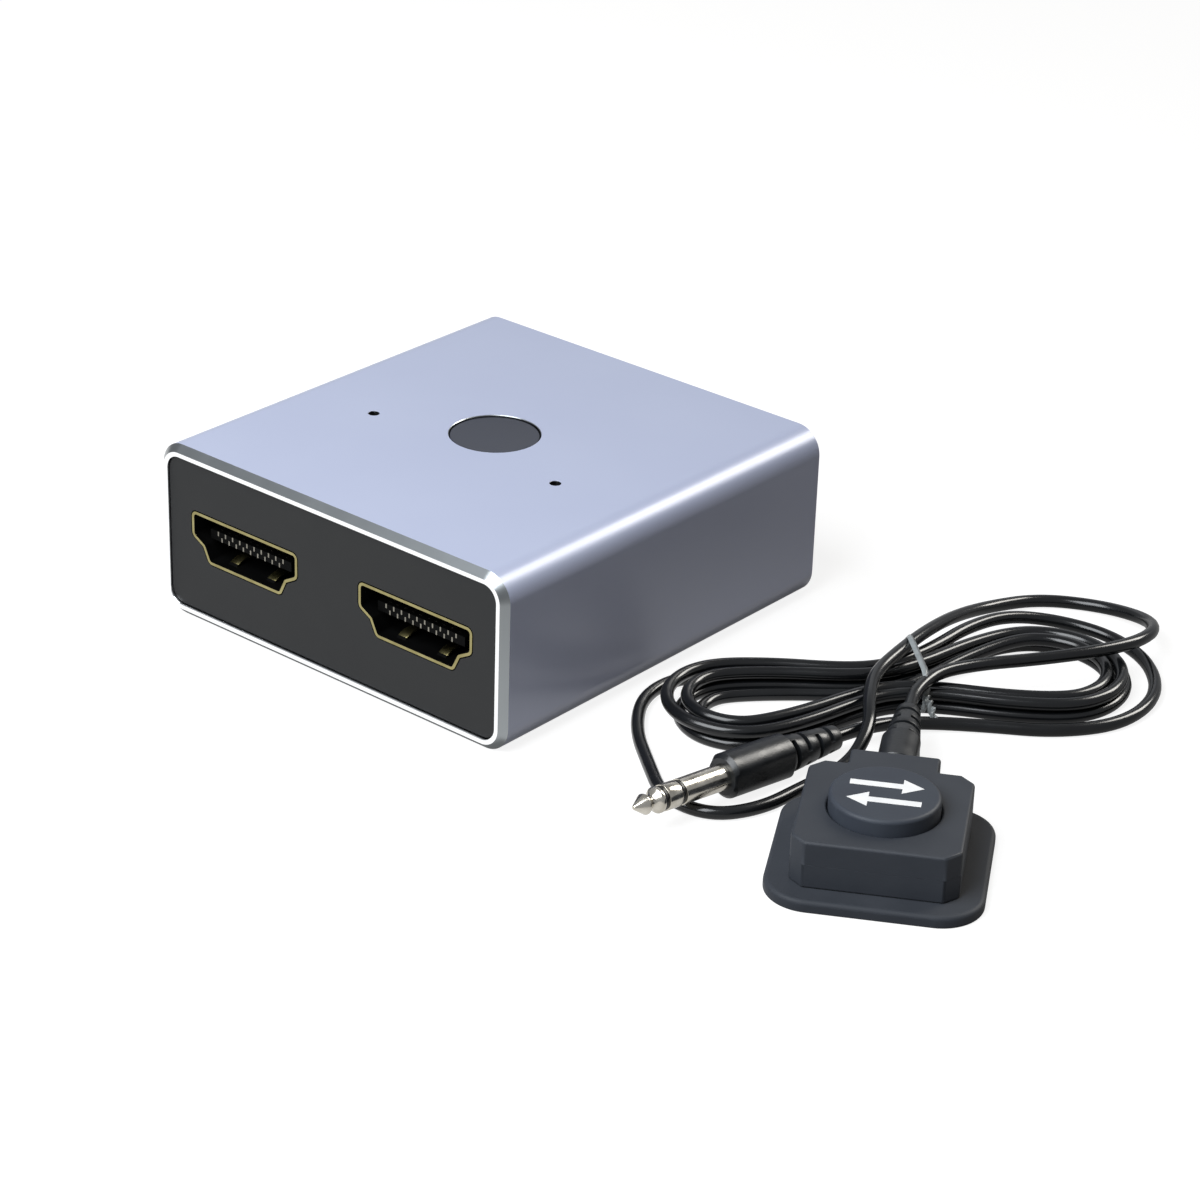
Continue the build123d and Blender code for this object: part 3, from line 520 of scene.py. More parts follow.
green_mask = solder_mask()
for node in ("main_board", "remote_board"):
    dress(node, green_mask)
finishes = board_finishes()
for node, material in finishes.items():
    dress(node, material)


# Snap domes: thin spring-steel caps under the two plungers, each a dished disc that stands on its rim in
# the switch's body. On the real switch a press flattens it until it clicks and it springs back; here each
# is built in its dished rest shape.
dome_presses = (
    ("box_tact_dome", "box_button_press", 0.08 * mm, 0.38),
    ("remote_tact_dome", "remote_button_press", 0.06 * mm, 0.35),
)
dome_points = 12
dome_columns = 64


def dome_arc(rim, height):
    """A cap of a sphere from its middle to its rim: z = sqrt(R^2 - r^2) - R + h, with R from rim and h."""
    ball = (rim**2 + height**2) / (2 * height)
    radius = np.linspace(0, rim, dome_points)
    return np.stack([radius, np.sqrt(ball**2 - radius**2) - ball + height], axis=-1)


for node, joint, sheet, kept_height in dome_presses:
    dome_low, dome_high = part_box(node)
    rim = (dome_high.x - dome_low.x) / 2
    height = dome_high.z - dome_low.z
    profile = np.concatenate([dome_arc(rim, height), dome_arc(rim - sheet, height - sheet)[::-1]])
    foot = Vector(((dome_low.x + dome_high.x) / 2, (dome_low.y + dome_high.y) / 2, dome_low.z))
    dome = surface(f"{node}_sheet", moved(lathe(profile, dome_columns), Matrix.Translation(foot)))
    fit(dome, "root", "tinned_steel", [finishes[node]], node)
    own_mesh(dome)


# Light pipes: smoked acrylic pins pressed up under the two small holes, a little below the surface, so
# that an unlit lamp shows only as a black dot.
for node in ("light_pipe_left", "light_pipe_right"):
    dress(node, acrylic_and_hole_shade)


# Box button: a turned and anodised slate cap with a shallow dish, a flange that keeps it in the sleeve,
# and a stem that sits on the push switch.
button_radius = 4.5 * mm
button_edge = 0.12 * mm
button_dish = 0.08 * mm
button_flange_radius = 5.7 * mm
button_flange_low = 16.4 * mm
button_flange_high = 17.2 * mm
button_stem_radius = 2.5 * mm
button_pocket_radius = 1.75 * mm
button_pocket_top = 14.975 * mm
arc_points = 7
dish_points = 12


def quarter_arc(middle_radius, middle_height, size):
    """Points from the top of a round edge to its side: a quarter circle about the edge's centre."""
    angle = np.linspace(pi / 2, 0, arc_points)
    return [(middle_radius + size * cos(turn), middle_height + size * sin(turn)) for turn in angle]


def slate_cap():
    """Slate dye over the same blasting, smoother to the touch: dark blue grey with a soft sheen."""
    return skin("slate_cap", ("#343742", "#3A3E4A"), (0.34, 0.40), 8, 0.15, 0.0015, Metallic=0.2)


button_low, button_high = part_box("box_button")
dish_radius = np.linspace(0, button_radius - button_edge, dish_points)[:-1]
dish_share = dish_radius / (button_radius - button_edge)
dish_height = button_high.z - button_dish * (1 - dish_share**2)
button_profile = [
    *zip(dish_radius, dish_height),
    *quarter_arc(button_radius - button_edge, button_high.z - button_edge, button_edge),
    (button_radius, button_flange_high), (button_flange_radius, button_flange_high),
    (button_flange_radius, button_flange_low), (button_stem_radius, button_flange_low),
    (button_stem_radius, button_low.z), (button_pocket_radius, button_low.z),
    (button_pocket_radius, button_pocket_top), (0, button_pocket_top),
]
cap = surface("box_button_cap", lathe(button_profile))
fit(soften(cap, edge_break), "box_button", "button_plastic", [slate_cap()], "box_button")


# Remote plate: a soft square of moulded rubber with wide round corners, and the foam pad that sticks it
# down let into its underside.
plate_corner = 4.2 * mm
plate_edge = 0.45 * mm
plate_foot_edge = 0.2 * mm
pad_corner = 2.5 * mm
remote_turn = radians(30.1)
plate_size = 19.5 * mm
pad_size = 15.5 * mm

plate_low, plate_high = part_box("remote_plate")
pad_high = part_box("remote_adhesive_pad")[1]
plate_middle = (plate_low + plate_high) / 2
remote_place = Matrix.Translation((plate_middle.x, plate_middle.y, 0)) @ Matrix.Rotation(remote_turn, 4, "Z")


def plate_grid():
    """Rounded squares stacked on a path of (inset, height) stations: the top, its round edge, the foot's
    smaller round edge, the underside, and the pad's pocket."""
    edge = quarter_arc(-plate_edge, plate_high.z - plate_edge, plate_edge)
    foot = [
        (-plate_foot_edge * (1 - cos(turn)), plate_foot_edge * (1 - sin(turn)))
        for turn in np.linspace(0, pi / 2, arc_points)
    ]
    rows = []
    for reach, height in edge + foot:
        loop, _ = rounded_loop(plate_size / 2, plate_size / 2, plate_corner, -reach)
        rows.append(np.insert(loop, 2, height, axis=1))
    for height in (0, pad_high.z):
        loop, _ = rounded_loop(pad_size / 2, pad_size / 2, pad_corner)
        rows.append(np.insert(loop, 2, height, axis=1))
    return np.array(rows)


def moulded_rubber():
    """Silicone rubber from a blasted mould: dark blue grey and dull, with dust-fine grain and soft edges."""
    return skin(
        "moulded_rubber", ("#2E3239", "#34383F"), (0.6, 0.7), 4, 0.18, 0.004,
        Specular_IOR_Level=0.3, Sheen_Weight=0.15, Sheen_Roughness=0.4,
    )


def adhesive_foam():
    """Closed-cell foam with glue on its face: off-white and dull, with cells of about 0.25 mm."""
    return skin("adhesive_foam", ("#C9C7C0", "#DAD8D2"), (0.8, 0.9), 2, 0.25, 0.03)


plate = surface("soft_plate", moved(plate_grid(), remote_place), caps=True)
fit(soften(plate, edge_break, least_angle=40), "root", "plate_rubber", [moulded_rubber()], "remote_plate")
dress("remote_adhesive_pad", adhesive_foam())


# Remote case: two ABS halves, split at half height, with cut corners and a neck for the lead. Their
# moulded face is finely matt and their edges are broken, which leaves a thin parting line.
case_break = 0.3 * mm
case_split = 3.5 * mm
split_tolerance = 0.01 * mm
split_share = 0.12
edge_turn = radians(28)
case_segments = 3


def abs_case():
    """Matt ABS in charcoal with a blue cast: grain of about 0.15 mm that spreads the light evenly."""
    return skin("abs_case", ("#30343B", "#353940"), (0.5, 0.58), 4, 0.2, 0.004, Specular_IOR_Level=0.35)


def ease_split(piece):
    """Leaves the edges on the parting plane nearly sharp, and rounds the case's other edges in full."""
    made = bmesh.new()
    made.from_mesh(piece.data)
    weight = made.edges.layers.float.new("bevel_weight_edge")
    for edge in made.edges:
        along_split = all(abs(corner.co.z - case_split) < split_tolerance for corner in edge.verts)
        turns = edge.calc_face_angle(0) > edge_turn
        edge[weight] = turns * (split_share if along_split else 1.0)
    made.to_mesh(piece.data)
    made.free()
    piece.modifiers["edge break"].limit_method = "WEIGHT"
    piece.modifiers["edge break"].segments = case_segments
    return piece


case_skin = abs_case()
for node in ("remote_case_lower", "remote_case_upper"):
    half = ease_split(copy_of(node, case_break))
    fit(half, "root", "remote_plastic", [case_skin], node)


# Remote button: a round ABS cap that stands proud of the case, kept in by its flange. A pair of arrows is
# pad printed on it in white.
cap_radius = 5.0 * mm
cap_edge = 0.4 * mm
cap_flange_radius = 5.8 * mm
cap_flange_high = 4.9 * mm
arrow_length = 6.6 * mm
arrow_shaft = 0.85 * mm
arrow_head_length = 1.9 * mm
arrow_head_width = 2.5 * mm
arrow_spacing = 2.8 * mm
print_thickness = 0.02 * mm


def arrow_outline(side):
    """An arrow's seven corners, from its tail along the shaft to the head, its tip, and back."""
    tail = -arrow_length / 2
    neck = arrow_length / 2 - arrow_head_length
    tip = arrow_length / 2
    shaft = arrow_shaft / 2
    barb = arrow_head_width / 2
    points = [
        (tail, -shaft), (neck, -shaft), (neck, -barb), (tip, 0), (neck, barb), (neck, shaft), (tail, shaft),
    ]
    return np.array(points) * side + (0, side * arrow_spacing / 2)


def abs_cap():
    """ABS from a finer mould than the case's: a touch lighter and bluer, with the same even matt."""
    return skin("abs_cap", ("#343943", "#393F48"), (0.5, 0.58), 4, 0.18, 0.003, Specular_IOR_Level=0.35)


def print_ink():
    """Pad-printed ink: a flat white film that dries faintly uneven."""
    return skin("print_ink", ("#F6F7F8", "#FFFFFF"), (0.5, 0.6), 1, 0.1, 0.0002)


cap_low, cap_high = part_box("remote_button")
cap_profile = [
    (0, cap_high.z), *quarter_arc(cap_radius - cap_edge, cap_high.z - cap_edge, cap_edge),
    (cap_radius, cap_flange_high), (cap_flange_radius, cap_flange_high),
    (cap_flange_radius, cap_low.z), (0, cap_low.z),
]
remote_cap = surface("remote_button_cap", moved(lathe(cap_profile), remote_place))
fit(soften(remote_cap, edge_break), "remote_button", "remote_button_plastic", [abs_cap()], "remote_button")

white_ink = print_ink()
for side, side_name in ((1, "upper"), (-1, "lower")):
    outline = arrow_outline(side)
    levels = (cap_high.z, cap_high.z + print_thickness)
    rows = np.array([np.insert(outline, 2, height, axis=1) for height in levels])
    arrow = surface(f"printed_arrow_{side_name}", moved(rows, remote_place), caps=True)
    arrow.data.shade_flat()
    fit(arrow, "remote_button", "remote_button_plastic", [white_ink])


# Strain relief: black PVC moulded over the lead and held in the case's neck. A barrel with two finger
# flats runs into a boot of rings joined by ribs, which let it bend.
grip_radius = 2.15 * mm
grip_edge = 0.4 * mm
boot_length = 6.5 * mm
boot_rings = 4
boot_gap_share = 1 / 3
boot_start_radius = 1.8 * mm
boot_tip_radius = 1.2 * mm
boot_core_radius = 0.95 * mm
bridge_half_angle = radians(38)
relief_grip_length = 5.5 * mm
relief_depth = 3.6 * mm
relief_shaft_radius = 1.4 * mm
relief_flange_radius = 1.9 * mm
relief_flange_places = (-1.8 * mm, -1.0 * mm)
finger_flat = 0.35 * mm
hank_place = Matrix.Translation((42.4 * mm, 10.0 * mm, 0)) @ Matrix.Rotation(radians(56.5), 4, "Z")
cord_start = (-1.3, -8.6, 3.5)
cord_exit = hank_place @ (Vector(cord_start) * mm)


def along(start, way):
    """A frame whose Z axis runs along way from start and whose X axis is level."""
    forward = Vector(way).normalized()
    level = Vector((0, 0, 1)).cross(forward).normalized()
    turn = Matrix((level, forward.cross(level), forward)).transposed().to_4x4()
    return Matrix.Translation(start) @ turn


def boot_rows(start):
    """Stations (place, ring radius, core radius, ring number) of the boot: each ring is a tapering band
    with a gap before it, where only two ribs keep the ring's radius."""
    pitch = boot_length / boot_rings
    taper = (boot_start_radius - boot_tip_radius) / boot_length
    rows = []
    for ring in range(boot_rings):
        gap = start + ring * pitch
        band = gap + pitch * boot_gap_share
        for place, solid in ((gap, 0), (band, 0), (band, 1), (gap + pitch, 1)):
            radius = boot_start_radius - taper * (place - start)
            rows.append((place, radius, radius if solid else boot_core_radius, ring))
    return rows


def grip_rows(length):
    """Stations of the barrel: a broken front edge, the barrel, and a broken rear edge."""
    radius = (grip_radius - grip_edge, grip_radius, grip_radius, grip_radius - grip_edge)
    place = (0, grip_edge, length - grip_edge, length)
    return [(z, r, r, -1) for z, r in zip(place, radius)]


def moulded_grid(rows, columns=lathe_columns):
    """The moulding's radius at each station and angle: the core's radius, but the ring's radius within
    the two ribs, which stand a quarter turn from those of the ring before. The barrel is flattened on two
    sides by a cosine of twice the angle."""
    place, ring_radius, core_radius, ring = np.array(rows, float).T[:, :, None]
    angle = np.linspace(0, 2 * pi, columns, endpoint=False)
    turned = angle + ring * pi / 2
    on_rib = np.abs(np.sin(turned)) > cos(bridge_half_angle / 2)
    radius = np.where(on_rib, ring_radius, core_radius)
    barrel = (ring < 0) & (core_radius > grip_radius - grip_edge / 2)
    radius = radius - barrel * finger_flat * np.maximum(np.cos(2 * angle), 0) ** 2
    return np.stack([radius * np.cos(angle), radius * np.sin(angle), place + 0 * angle], axis=-1)


def moulded_pvc():
    """Soft black PVC straight from a polished mould, so it shines a little and shows faint flow."""
    return skin("moulded_pvc", ("#121416", "#1B1E21"), (0.28, 0.4), 1.5, 0.3, 0.012)


relief_way = Matrix.Rotation(remote_turn, 4, "Z") @ Vector((0, 1, 0))
relief_start = cord_exit - relief_way * (relief_grip_length + boot_length)
flange_low, flange_high = relief_flange_places
anchor = [
    (-relief_depth, relief_shaft_radius), (flange_low, relief_shaft_radius),
    (flange_low, relief_flange_radius), (flange_high, relief_flange_radius),
    (flange_high, relief_shaft_radius), (0, relief_shaft_radius),
]
relief_rows = [(z, r, r, -1) for z, r in [(-relief_depth, 0), *anchor]]
relief_rows += grip_rows(relief_grip_length) + boot_rows(relief_grip_length)
relief_rows.append((relief_grip_length + boot_length, 0, 0, -1))
pvc = moulded_pvc()
relief = surface("strain_relief", moved(moulded_grid(relief_rows), along(relief_start, relief_way)))
fit(soften(relief, edge_break, least_angle=35), "root", "moulded_grip", [pvc], "remote_strain_relief")


# Lead: a thin flexible cord with a glossy black PVC jacket. It leaves the strain relief, makes one wide
# loop, is wound into a hank of nine runs, and comes round the hank's end to the plug. Its points are in
# millimetres in the hank's own frame: x along its axis, y across it towards the box, z up.
cord_diameter = 1.3 * mm
layer_low = 0.68
layer_high = 2.08
route_to_hank = [
    cord_start,
    (-0.32, -6.63, 3.5),
    (1.2, -4.5, 3.75),
    (4.2, -1.9, 3.8),
    (9.0, -0.9, 3.6),
    (14.6, -1.2, 3.6),
    (20.4, -1.4, 3.8),
    (25.6, -0.3, 3.7),
    (29.4, 3.0, 3.0),
    (30.8, 8.2, 1.6),
    (28.2, 13.4, 0.75),
    (22.6, 16.4, 0.68),
    (16.6, 15.2, 1.1),
    (11.4, 11.6, 2.4),
    (6.8, 7.2, 3.6),
    (2.4, 3.2, 3.9),
    (-1.8, -0.6, 3.7),
    (-4.0, -5.2, 3.7),
    (-5.4, -9.6, 3.0),
    (-8.7, -13.0, 1.2),
    (-13.8, -15.0, 0.68),
    (-18.8, -17.8, 0.68),
    (-23.8, -17.9, 0.68),
    (-26.9, -13.6, 0.68),
    (-26.4, -7.6, 0.68),
    (-25.7, -1.0, 0.68),
    (-23.2, 5.2, 0.68),
    (-19.0, 8.1, 0.68),
]
route_to_plug = [
    (3.6, 4.3, 2.08),
    (7.4, 6.4, 2.08),
    (12.0, 9.6, 2.08),
    (17.0, 11.4, 1.9),
    (22.2, 10.5, 1.2),
    (26.6, 6.9, 0.75),
    (28.0, 0.8, 0.68),
    (25.8, -6.0, 0.68),
    (20.2, -10.4, 0.68),
    (13.2, -10.4, 0.68),
    (6.8, -7.6, 0.68),
    (1.2, -5.9, 0.8),
    (-4.0, -6.35, 1.47),
    (-8.59, -8.55, 1.79),
]
run_count = 9
run_places = (0.25, 0.65, 1.0)
left_reach = 15.0
right_reach = 16.0
left_offsets = (3.6, 1.0)
right_offsets = (6.0, 0.75)
waist_spacing = 0.7
turn_points = 5
section_resolution = 5
line_resolution = 8


def strand_offset(x, run):
    """How far a run lies from the hank's axis: its place at the waist, easing into its place at the end
    by the smooth step 3t^2 - 2t^3 of the share t of the way out."""
    place = abs(run - (run_count - 1) // 2)
    side = 1 if run % 2 == 0 else -1
    reach, (first, spacing) = (right_reach, right_offsets) if x > 0 else (left_reach, left_offsets)
    share = min(abs(x) / reach, 1)
    waist = waist_spacing * (place + (side > 0))
    return side * (waist + (first + place * spacing - waist) * share**2 * (3 - 2 * share))


def hank_points():
    """The runs and the half circles that join them: winding in on the lower layer, climbing along the
    middle run, and winding out again on the upper one."""
    points = []
    middle_run = (run_count - 1) // 2
    for run in range(run_count):
        way = 1 if run % 2 == 0 else -1
        steps = [-left_reach * share for share in reversed(run_places)] + [0.0]
        steps += [right_reach * share for share in run_places]
        if run == run_count - 1:
            steps = steps[:4]
        for x in steps[::way]:
            climb = min(max((x + way) / right_reach, 0), 1) if run == middle_run else float(run > middle_run)
            points.append((x, strand_offset(x, run), layer_low + climb * (layer_high - layer_low)))
        if run < run_count - 1:
            end = right_reach if way > 0 else -left_reach
            height = layer_high if run >= middle_run else layer_low
            near, far = strand_offset(end, run), strand_offset(end, run + 1)
            for turn in np.linspace(pi / 2, -pi / 2, turn_points + 2)[1:-1]:
                out = abs(near - far) / 2 * cos(turn)
                points.append((end + way * out, (near + far) / 2 + (near - far) / 2 * sin(turn), height))
    return points


def cord_curve(name, points, diameter):
    """One smooth line steered by the points, with a round section."""
    data = bpy.data.curves.new(name, "CURVE")
    data.dimensions = "3D"
    data.bevel_depth = diameter / 2
    data.bevel_resolution = section_resolution
    data.resolution_u = line_resolution
    data.use_fill_caps = True
    line = data.splines.new("NURBS")
    line.points.add(len(points) - 1)
    for control, point in zip(line.points, points):
        control.co = (*(hank_place @ (Vector(point) * mm)), 1)
    line.order_u = 3
    line.use_endpoint_u = True
    piece = bpy.data.objects.new(name, data)
    bpy.context.scene.collection.objects.link(piece)
    return piece


def pvc_jacket():
    """Extruded PVC: near black and glossy, with slight waves from the strands under it."""
    return skin("pvc_jacket", ("#0A0B0D", "#101214"), (0.18, 0.22), 4, 2.5, 0.012)


lead = cord_curve("lead", route_to_hank + hank_points() + route_to_plug, cord_diameter)
fit(lead, "root", "lead_jacket", [pvc_jacket()], "lead_from_remote", "lead_hank", "lead_to_plug")


# Twist tie: a thin wire in a clear plastic ribbon, wrapped round the hank's waist and twisted twice at
# the side. Its sizes are in millimetres in the hank's frame, as the lead's are.
tie_place = 3.0
tie_low = (-4.1, 0.06)
tie_high = (5.6, 4.75)
tie_corner = 1.9
tie_half_width = 0.34
tie_half_thickness = 0.12
tie_wire_bulge = 0.14
tie_wire_radius = 0.2
tie_foot = 0.02
tie_slant = 0.16
tail_radius = 0.22
tail_pitch = 1.5
tail_length = 2.4
tail_droop = 1.2
tail_start = (-4.1, 2.4)


def tie_grid(columns=24):
    """A flat oval carried round a rounded rectangle: x leans with y by the slant, and the oval is thicker
    in its middle, over the wire."""
    half_y = (tie_high[0] - tie_low[0]) / 2
    half_z = (tie_high[1] - tie_low[1]) / 2
    loop, normal = rounded_loop(half_y, half_z, tie_corner, tie_half_thickness)
    angle = np.linspace(0, 2 * pi, columns, endpoint=False)
    across = tie_half_width * np.cos(angle)
    wire = tie_wire_bulge * np.exp(-((across / tie_wire_radius) ** 2))
    thick = np.sin(angle) * (tie_half_thickness + wire)
    y = loop[:, :1] + normal[:, :1] * thick + (tie_high[0] + tie_low[0]) / 2
    z = loop[:, 1:] + normal[:, 1:] * np.maximum(thick, -1) + (tie_high[1] + tie_low[1]) / 2
    x = tie_place + across + tie_slant * y
    return np.stack([x, y, np.maximum(z, tie_foot)], axis=-1) * mm


def tail_grid(phase, rows=48, columns=16):
    """One of the two twisted ends: a small circle carried along a helix about the tail's line, which
    droops with the square of the share of the way out."""
    share = np.linspace(0, 1, rows)[:, None]
    turn = 2 * pi * share * tail_length / tail_pitch + phase
    angle = np.linspace(0, 2 * pi, columns, endpoint=False)
    taper = np.where((share == 0) | (share == 1), 0.0, 1.0)
    start_y, start_z = tail_start
    x = tie_place + tie_slant * start_y + tail_radius * (np.cos(turn) + taper * np.cos(angle))
    y = start_y - tail_length * share + 0 * angle
    z = start_z - tail_droop * share**2 + tail_radius * (np.sin(turn) + taper * np.sin(angle))
    return np.stack([x, y, z], axis=-1) * mm


def clear_ribbon():
    """Clear PVC over a grey wire: milky grey that lets some light through."""
    return skin(
        "clear_ribbon", ("#A9AFB1", "#C0C6C8"), (0.14, 0.22), 1, 0.2, 0.003, Transmission_Weight=0.45
    )


ribbon = clear_ribbon()
tie = surface("twist_tie", moved(tie_grid(), hank_place), close_rows=True)
fit(tie, "root", "tie_plastic", [ribbon], "hank_tie")
for number, phase in enumerate((0, pi)):
    tail = surface(f"twist_tie_end_{number + 1}", moved(tail_grid(phase), hank_place))
    fit(tail, "root", "tie_plastic", [ribbon])


# Plug: a 2.5 mm jack with three conductors. Its grip is the same black PVC, its pin is turned brass with
# bright nickel, and black bands part the conductors.
plug_grip_length = 8.0 * mm
pin_radius = 1.25 * mm
pin_length = 11.0 * mm
sleeve_length = 5.4 * mm
band_length = 0.5 * mm
ring_length = 1.6 * mm
band_radius = 1.15 * mm
tip_waist_radius = 0.6 * mm
tip_shoulder_radius = 0.98 * mm
tip_nose_radius = 0.28 * mm
tip_collar_share = 0.08
tip_groove_share = 0.5
tip_points = 25
nose_half_angle = radians(62)
pin_columns = 64
plug_way = (hank_place.to_3x3() @ Vector((-0.900, -0.431, 0.063))).normalized()
plug_tail = hank_place @ (Vector(route_to_plug[-1]) * mm)


def bright_nickel():
    """Electroplated nickel over brass: mirror bright with a warm cast and hair-fine wear along the pin."""
    return skin("bright_nickel", ("#C3BDB0", "#DDD8CD"), (0.14, 0.24), 1, 0.15, 0.001, Metallic=1.0)


plug_rows = [(0, 0, 0, -1)] + grip_rows(plug_grip_length) + boot_rows(plug_grip_length)
plug_rows.append((plug_grip_length + boot_length, 0, 0, -1))
shoulder = plug_tail + plug_way * (plug_grip_length + boot_length)
plug = surface("plug_grip", moved(moulded_grid(plug_rows), along(shoulder, -plug_way)))
fit(soften(plug, edge_break, least_angle=35), "root", "moulded_grip", [pvc], "plug_body")


def tip_profile():
    """The tip, from its band to its nose: a collar, a waist cut in by one wave of a cosine between the
    collar's radius and the smaller shoulder's, and a cone with a round nose."""
    start = sleeve_length + 2 * band_length + ring_length
    span = pin_length - start
    share = np.linspace(0, 1, tip_points)
    outer = pin_radius + (tip_shoulder_radius - pin_radius) * share
    waist = outer - (outer - tip_waist_radius) * (1 - np.cos(2 * pi * share)) / 2
    collar = [(pin_radius, start), (pin_radius, start + tip_collar_share * span)]
    along_groove = start + (tip_collar_share + tip_groove_share * share) * span
    groove = list(zip(waist[1:], along_groove[1:]))
    cone_end = pin_length - tip_nose_radius
    nose = [
        (tip_nose_radius * sin(turn), cone_end + tip_nose_radius * cos(turn))
        for turn in np.linspace(nose_half_angle, 0, arc_points)
    ]
    return [(0, start)] + collar + groove + nose


def band_plastic():
    """Nylon moulded between the conductors: black, with a low shine from the turning tool."""
    return skin("band_plastic", ("#08090A", "#0F1011"), (0.3, 0.4), 0.6, 0.1, 0.002)


def drum(start, end, radius):
    """The profile of a plain cylinder between two places along the pin."""
    return [(0, start), (radius, start), (radius, end), (0, end)]


ring_start = sleeve_length + band_length
ring_end = ring_start + ring_length
conductors = {
    "plug_sleeve": drum(0, sleeve_length, pin_radius),
    "plug_ring": drum(ring_start, ring_end, pin_radius),
    "plug_tip": tip_profile(),
}
nickel = bright_nickel()
pin_frame = along(shoulder, plug_way)
for node, profile in conductors.items():
    conductor = surface(f"{node}_turned", moved(lathe(profile, pin_columns), pin_frame))
    fit(soften(conductor, edge_break / 2), "root", "plug_nickel", [nickel], node)
band_skin = band_plastic()
bands = (("plug_band_1", sleeve_length, ["plug_insulators"]), ("plug_band_2", ring_end, []))
for name, start, nodes in bands:
    profile = drum(start, start + band_length, band_radius)
    band = surface(name, moved(lathe(profile, pin_columns), pin_frame))
    fit(band, "root", "plug_band", [band_skin], *nodes)


# Studio: a plain white table under a large soft lamp, with two cards behind the object that only gleam in
# its surfaces. Both table and room look lighter to the lens and in reflections than the light they give,
# the room looks cooler there, and the table's reflection darkens to the right and under the box.
floor_reach = 2.0
floor_drop = 0.01 * mm
room_level = 0.11
room_gleam = 0.4
room_colour = "#FFEBCF"
gleam_colour = "#F0F3F8"
lens_colour = "#FFFFFF"
floor_glow = 0.86
floor_tone = 0.28
floor_bounce = 0.12
floor_shade = 0.28
floor_shade_slope = 0.4
floor_shade_span = (0.008, 0.060)
contact_shade = 0.25
contact_span = (-0.2 * mm, 1.2 * mm)
lamps = (
    ("soft_key", (-0.01, -0.26, 0.30), (0.3, 0.3), 2.3, (0.93, 0.965, 1.0), True),
    ("edge_card", (0.18, 0.42, 0.39), (0.2, 0.34), 3.0, (1.0, 0.97, 0.91), False),
    ("low_card", (-0.39, 0.49, 0.31), (0.5, 0.3), 0.15, (0.92, 0.95, 1.0), False),
)


def seen_directly(tree):
    """One for rays from the lens and through clear pieces, zero for stray light, and for reflections a
    level that falls from one to the shade along x + slope y, towards the table's right side, and to the
    contact shade where the box's footprint, the larger of |x| - half width and |y| - half depth, begins."""
    path = add(tree, "LightPath").outputs
    place = add(tree, "SeparateXYZ", {0: add(tree, "TexCoord").outputs["Object"]}).outputs
    across = add(tree, "Math", {0: place[1], 1: floor_shade_slope, 2: place[0]}, operation="MULTIPLY_ADD")
    shade = add(tree, "MapRange", {
        "Value": across.outputs[0], "From Min": floor_shade_span[0], "From Max": floor_shade_span[1],
        "To Min": 1.0, "To Max": floor_shade,
    }, interpolation_type="SMOOTHSTEP")
    past = []
    for axis in (0, 1):
        from_middle = add(tree, "Math", {0: place[axis]}, operation="ABSOLUTE").outputs[0]
        beyond = add(tree, "Math", {0: from_middle, 1: sleeve_high[axis]}, operation="SUBTRACT")
        past.append(beyond.outputs[0])
    outside = add(tree, "Math", {0: past[0], 1: past[1]}, operation="MAXIMUM")
    contact = add(tree, "MapRange", {
        "Value": outside.outputs[0], "From Min": contact_span[0], "From Max": contact_span[1],
        "To Min": contact_shade, "To Max": 1.0,
    }, interpolation_type="SMOOTHSTEP")
    share = shade.outputs["Result"]
    for other, operation in (
        (contact.outputs["Result"], "MULTIPLY"), (path["Is Glossy Ray"], "MULTIPLY"),
        (path["Is Camera Ray"], "MAXIMUM"), (path["Is Transmission Ray"], "MAXIMUM"),
    ):
        share = add(tree, "Math", {0: share, 1: other}, operation=operation).outputs[0]
    return share


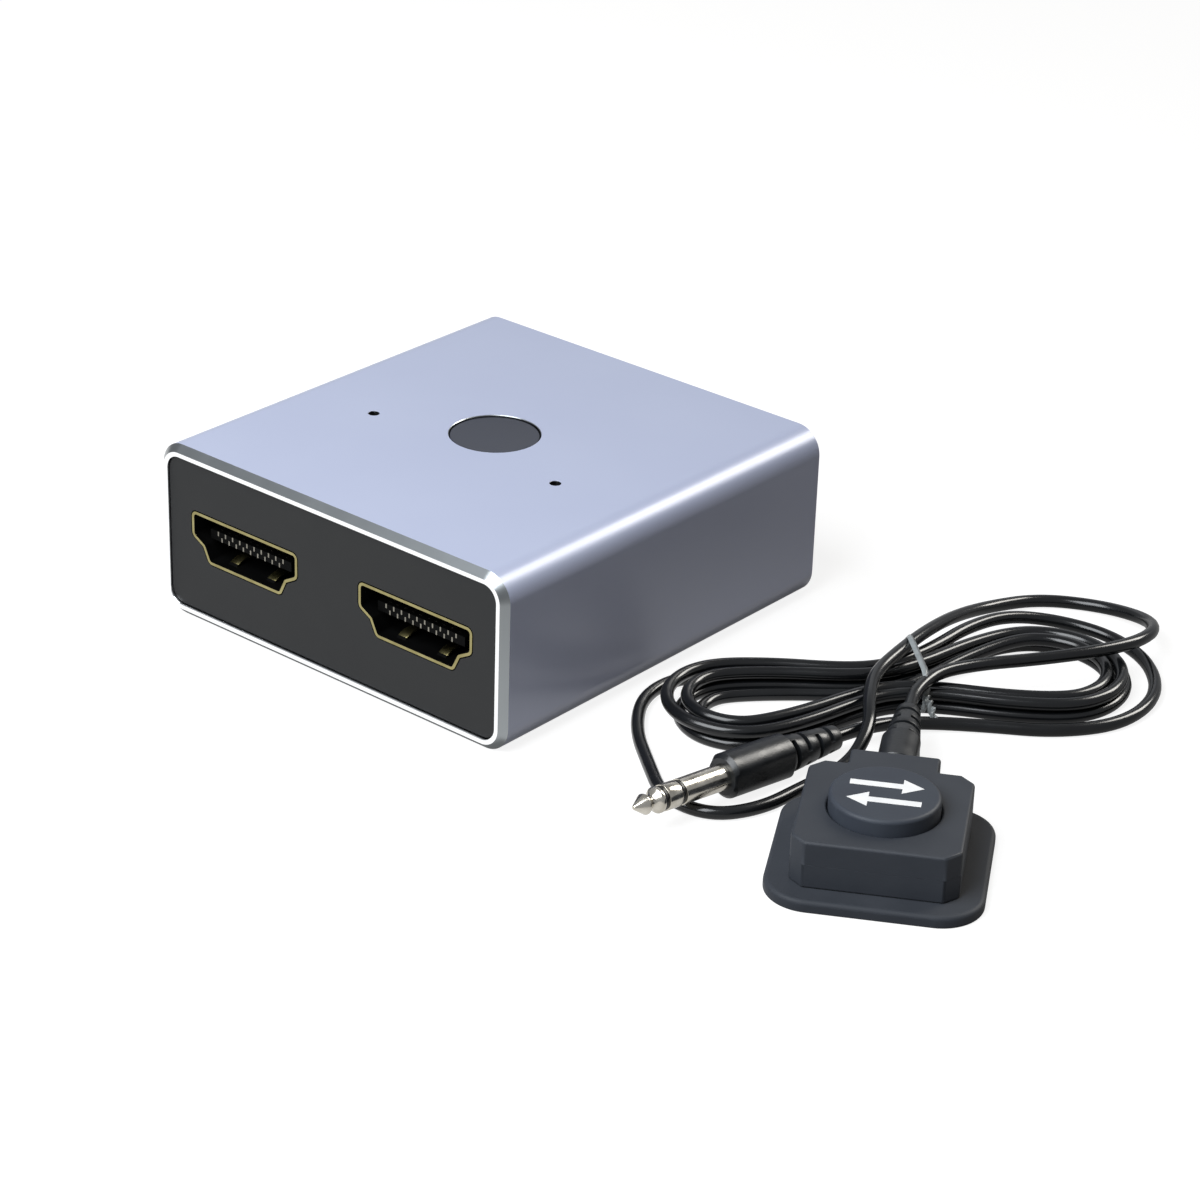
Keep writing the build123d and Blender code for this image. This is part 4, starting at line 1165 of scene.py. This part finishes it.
corners = np.array([(-1, -1), (1, -1), (1, 1), (-1, 1)]) * floor_reach
floor_mesh = bpy.data.meshes.new("floor")
floor_mesh.from_pydata([(x, y, -floor_drop) for x, y in corners.tolist()], [], [(0, 1, 2, 3)])
floor = bpy.data.objects.new("floor", floor_mesh)
bpy.context.scene.collection.objects.link(floor)
floor_white = bpy.data.materials.new("white_table")
floor_white.use_nodes = True
tree = floor_white.node_tree
tree.nodes.clear()
seen = seen_directly(tree)
level = add(tree, "MapRange", {"Value": seen, "To Min": floor_bounce, "To Max": floor_tone})
matt = add(tree, "BsdfDiffuse", {"Color": level.outputs["Result"]})
glow_level = add(tree, "Math", {0: seen, 1: floor_glow}, operation="MULTIPLY")
glow = add(tree, "Emission", {"Strength": glow_level.outputs[0]})
matt_and_glow = add(tree, "AddShader", {0: matt.outputs[0], 1: glow.outputs[0]})
add(tree, "OutputMaterial", {"Surface": matt_and_glow.outputs[0]})
floor_mesh.materials.append(floor_white)

for name, place, (width, height), power, colour, spreads in lamps:
    lamp_data = bpy.data.lights.new(name, "AREA")
    lamp_data.shape = "RECTANGLE"
    lamp_data.size = width
    lamp_data.size_y = height
    lamp_data.energy = power
    lamp_data.color = colour
    lamp = bpy.data.objects.new(name, lamp_data)
    bpy.context.scene.collection.objects.link(lamp)
    lamp.visible_diffuse = spreads
    aim = (-Vector(place)).to_track_quat("-Z", "Y").to_matrix().to_4x4()
    lamp.matrix_world = Matrix.Translation(place) @ aim

world = bpy.data.worlds.new("room")
world.use_nodes = True
bpy.context.scene.world = world
tree = world.node_tree
tree.nodes.clear()
path = add(tree, "LightPath").outputs
gleam = add(tree, "MapRange", {"Value": path["Is Glossy Ray"], "To Min": room_level, "To Max": room_gleam})
level = add(tree, "Math", {0: gleam.outputs["Result"], 1: path["Is Camera Ray"]}, operation="MAXIMUM")
tint = add(tree, "Mix", {
    "Factor": path["Is Glossy Ray"], 6: linear(room_colour), 7: linear(gleam_colour),
}, data_type="RGBA")
backdrop = add(tree, "Mix", {
    "Factor": path["Is Camera Ray"], 6: tint.outputs[2], 7: linear(lens_colour),
}, data_type="RGBA")
sky = add(tree, "Background", {"Color": backdrop.outputs[2], "Strength": level.outputs[0]})
add(tree, "OutputWorld", {"Surface": sky.outputs[0]})

bpy.context.scene.view_settings.view_transform = "Standard"
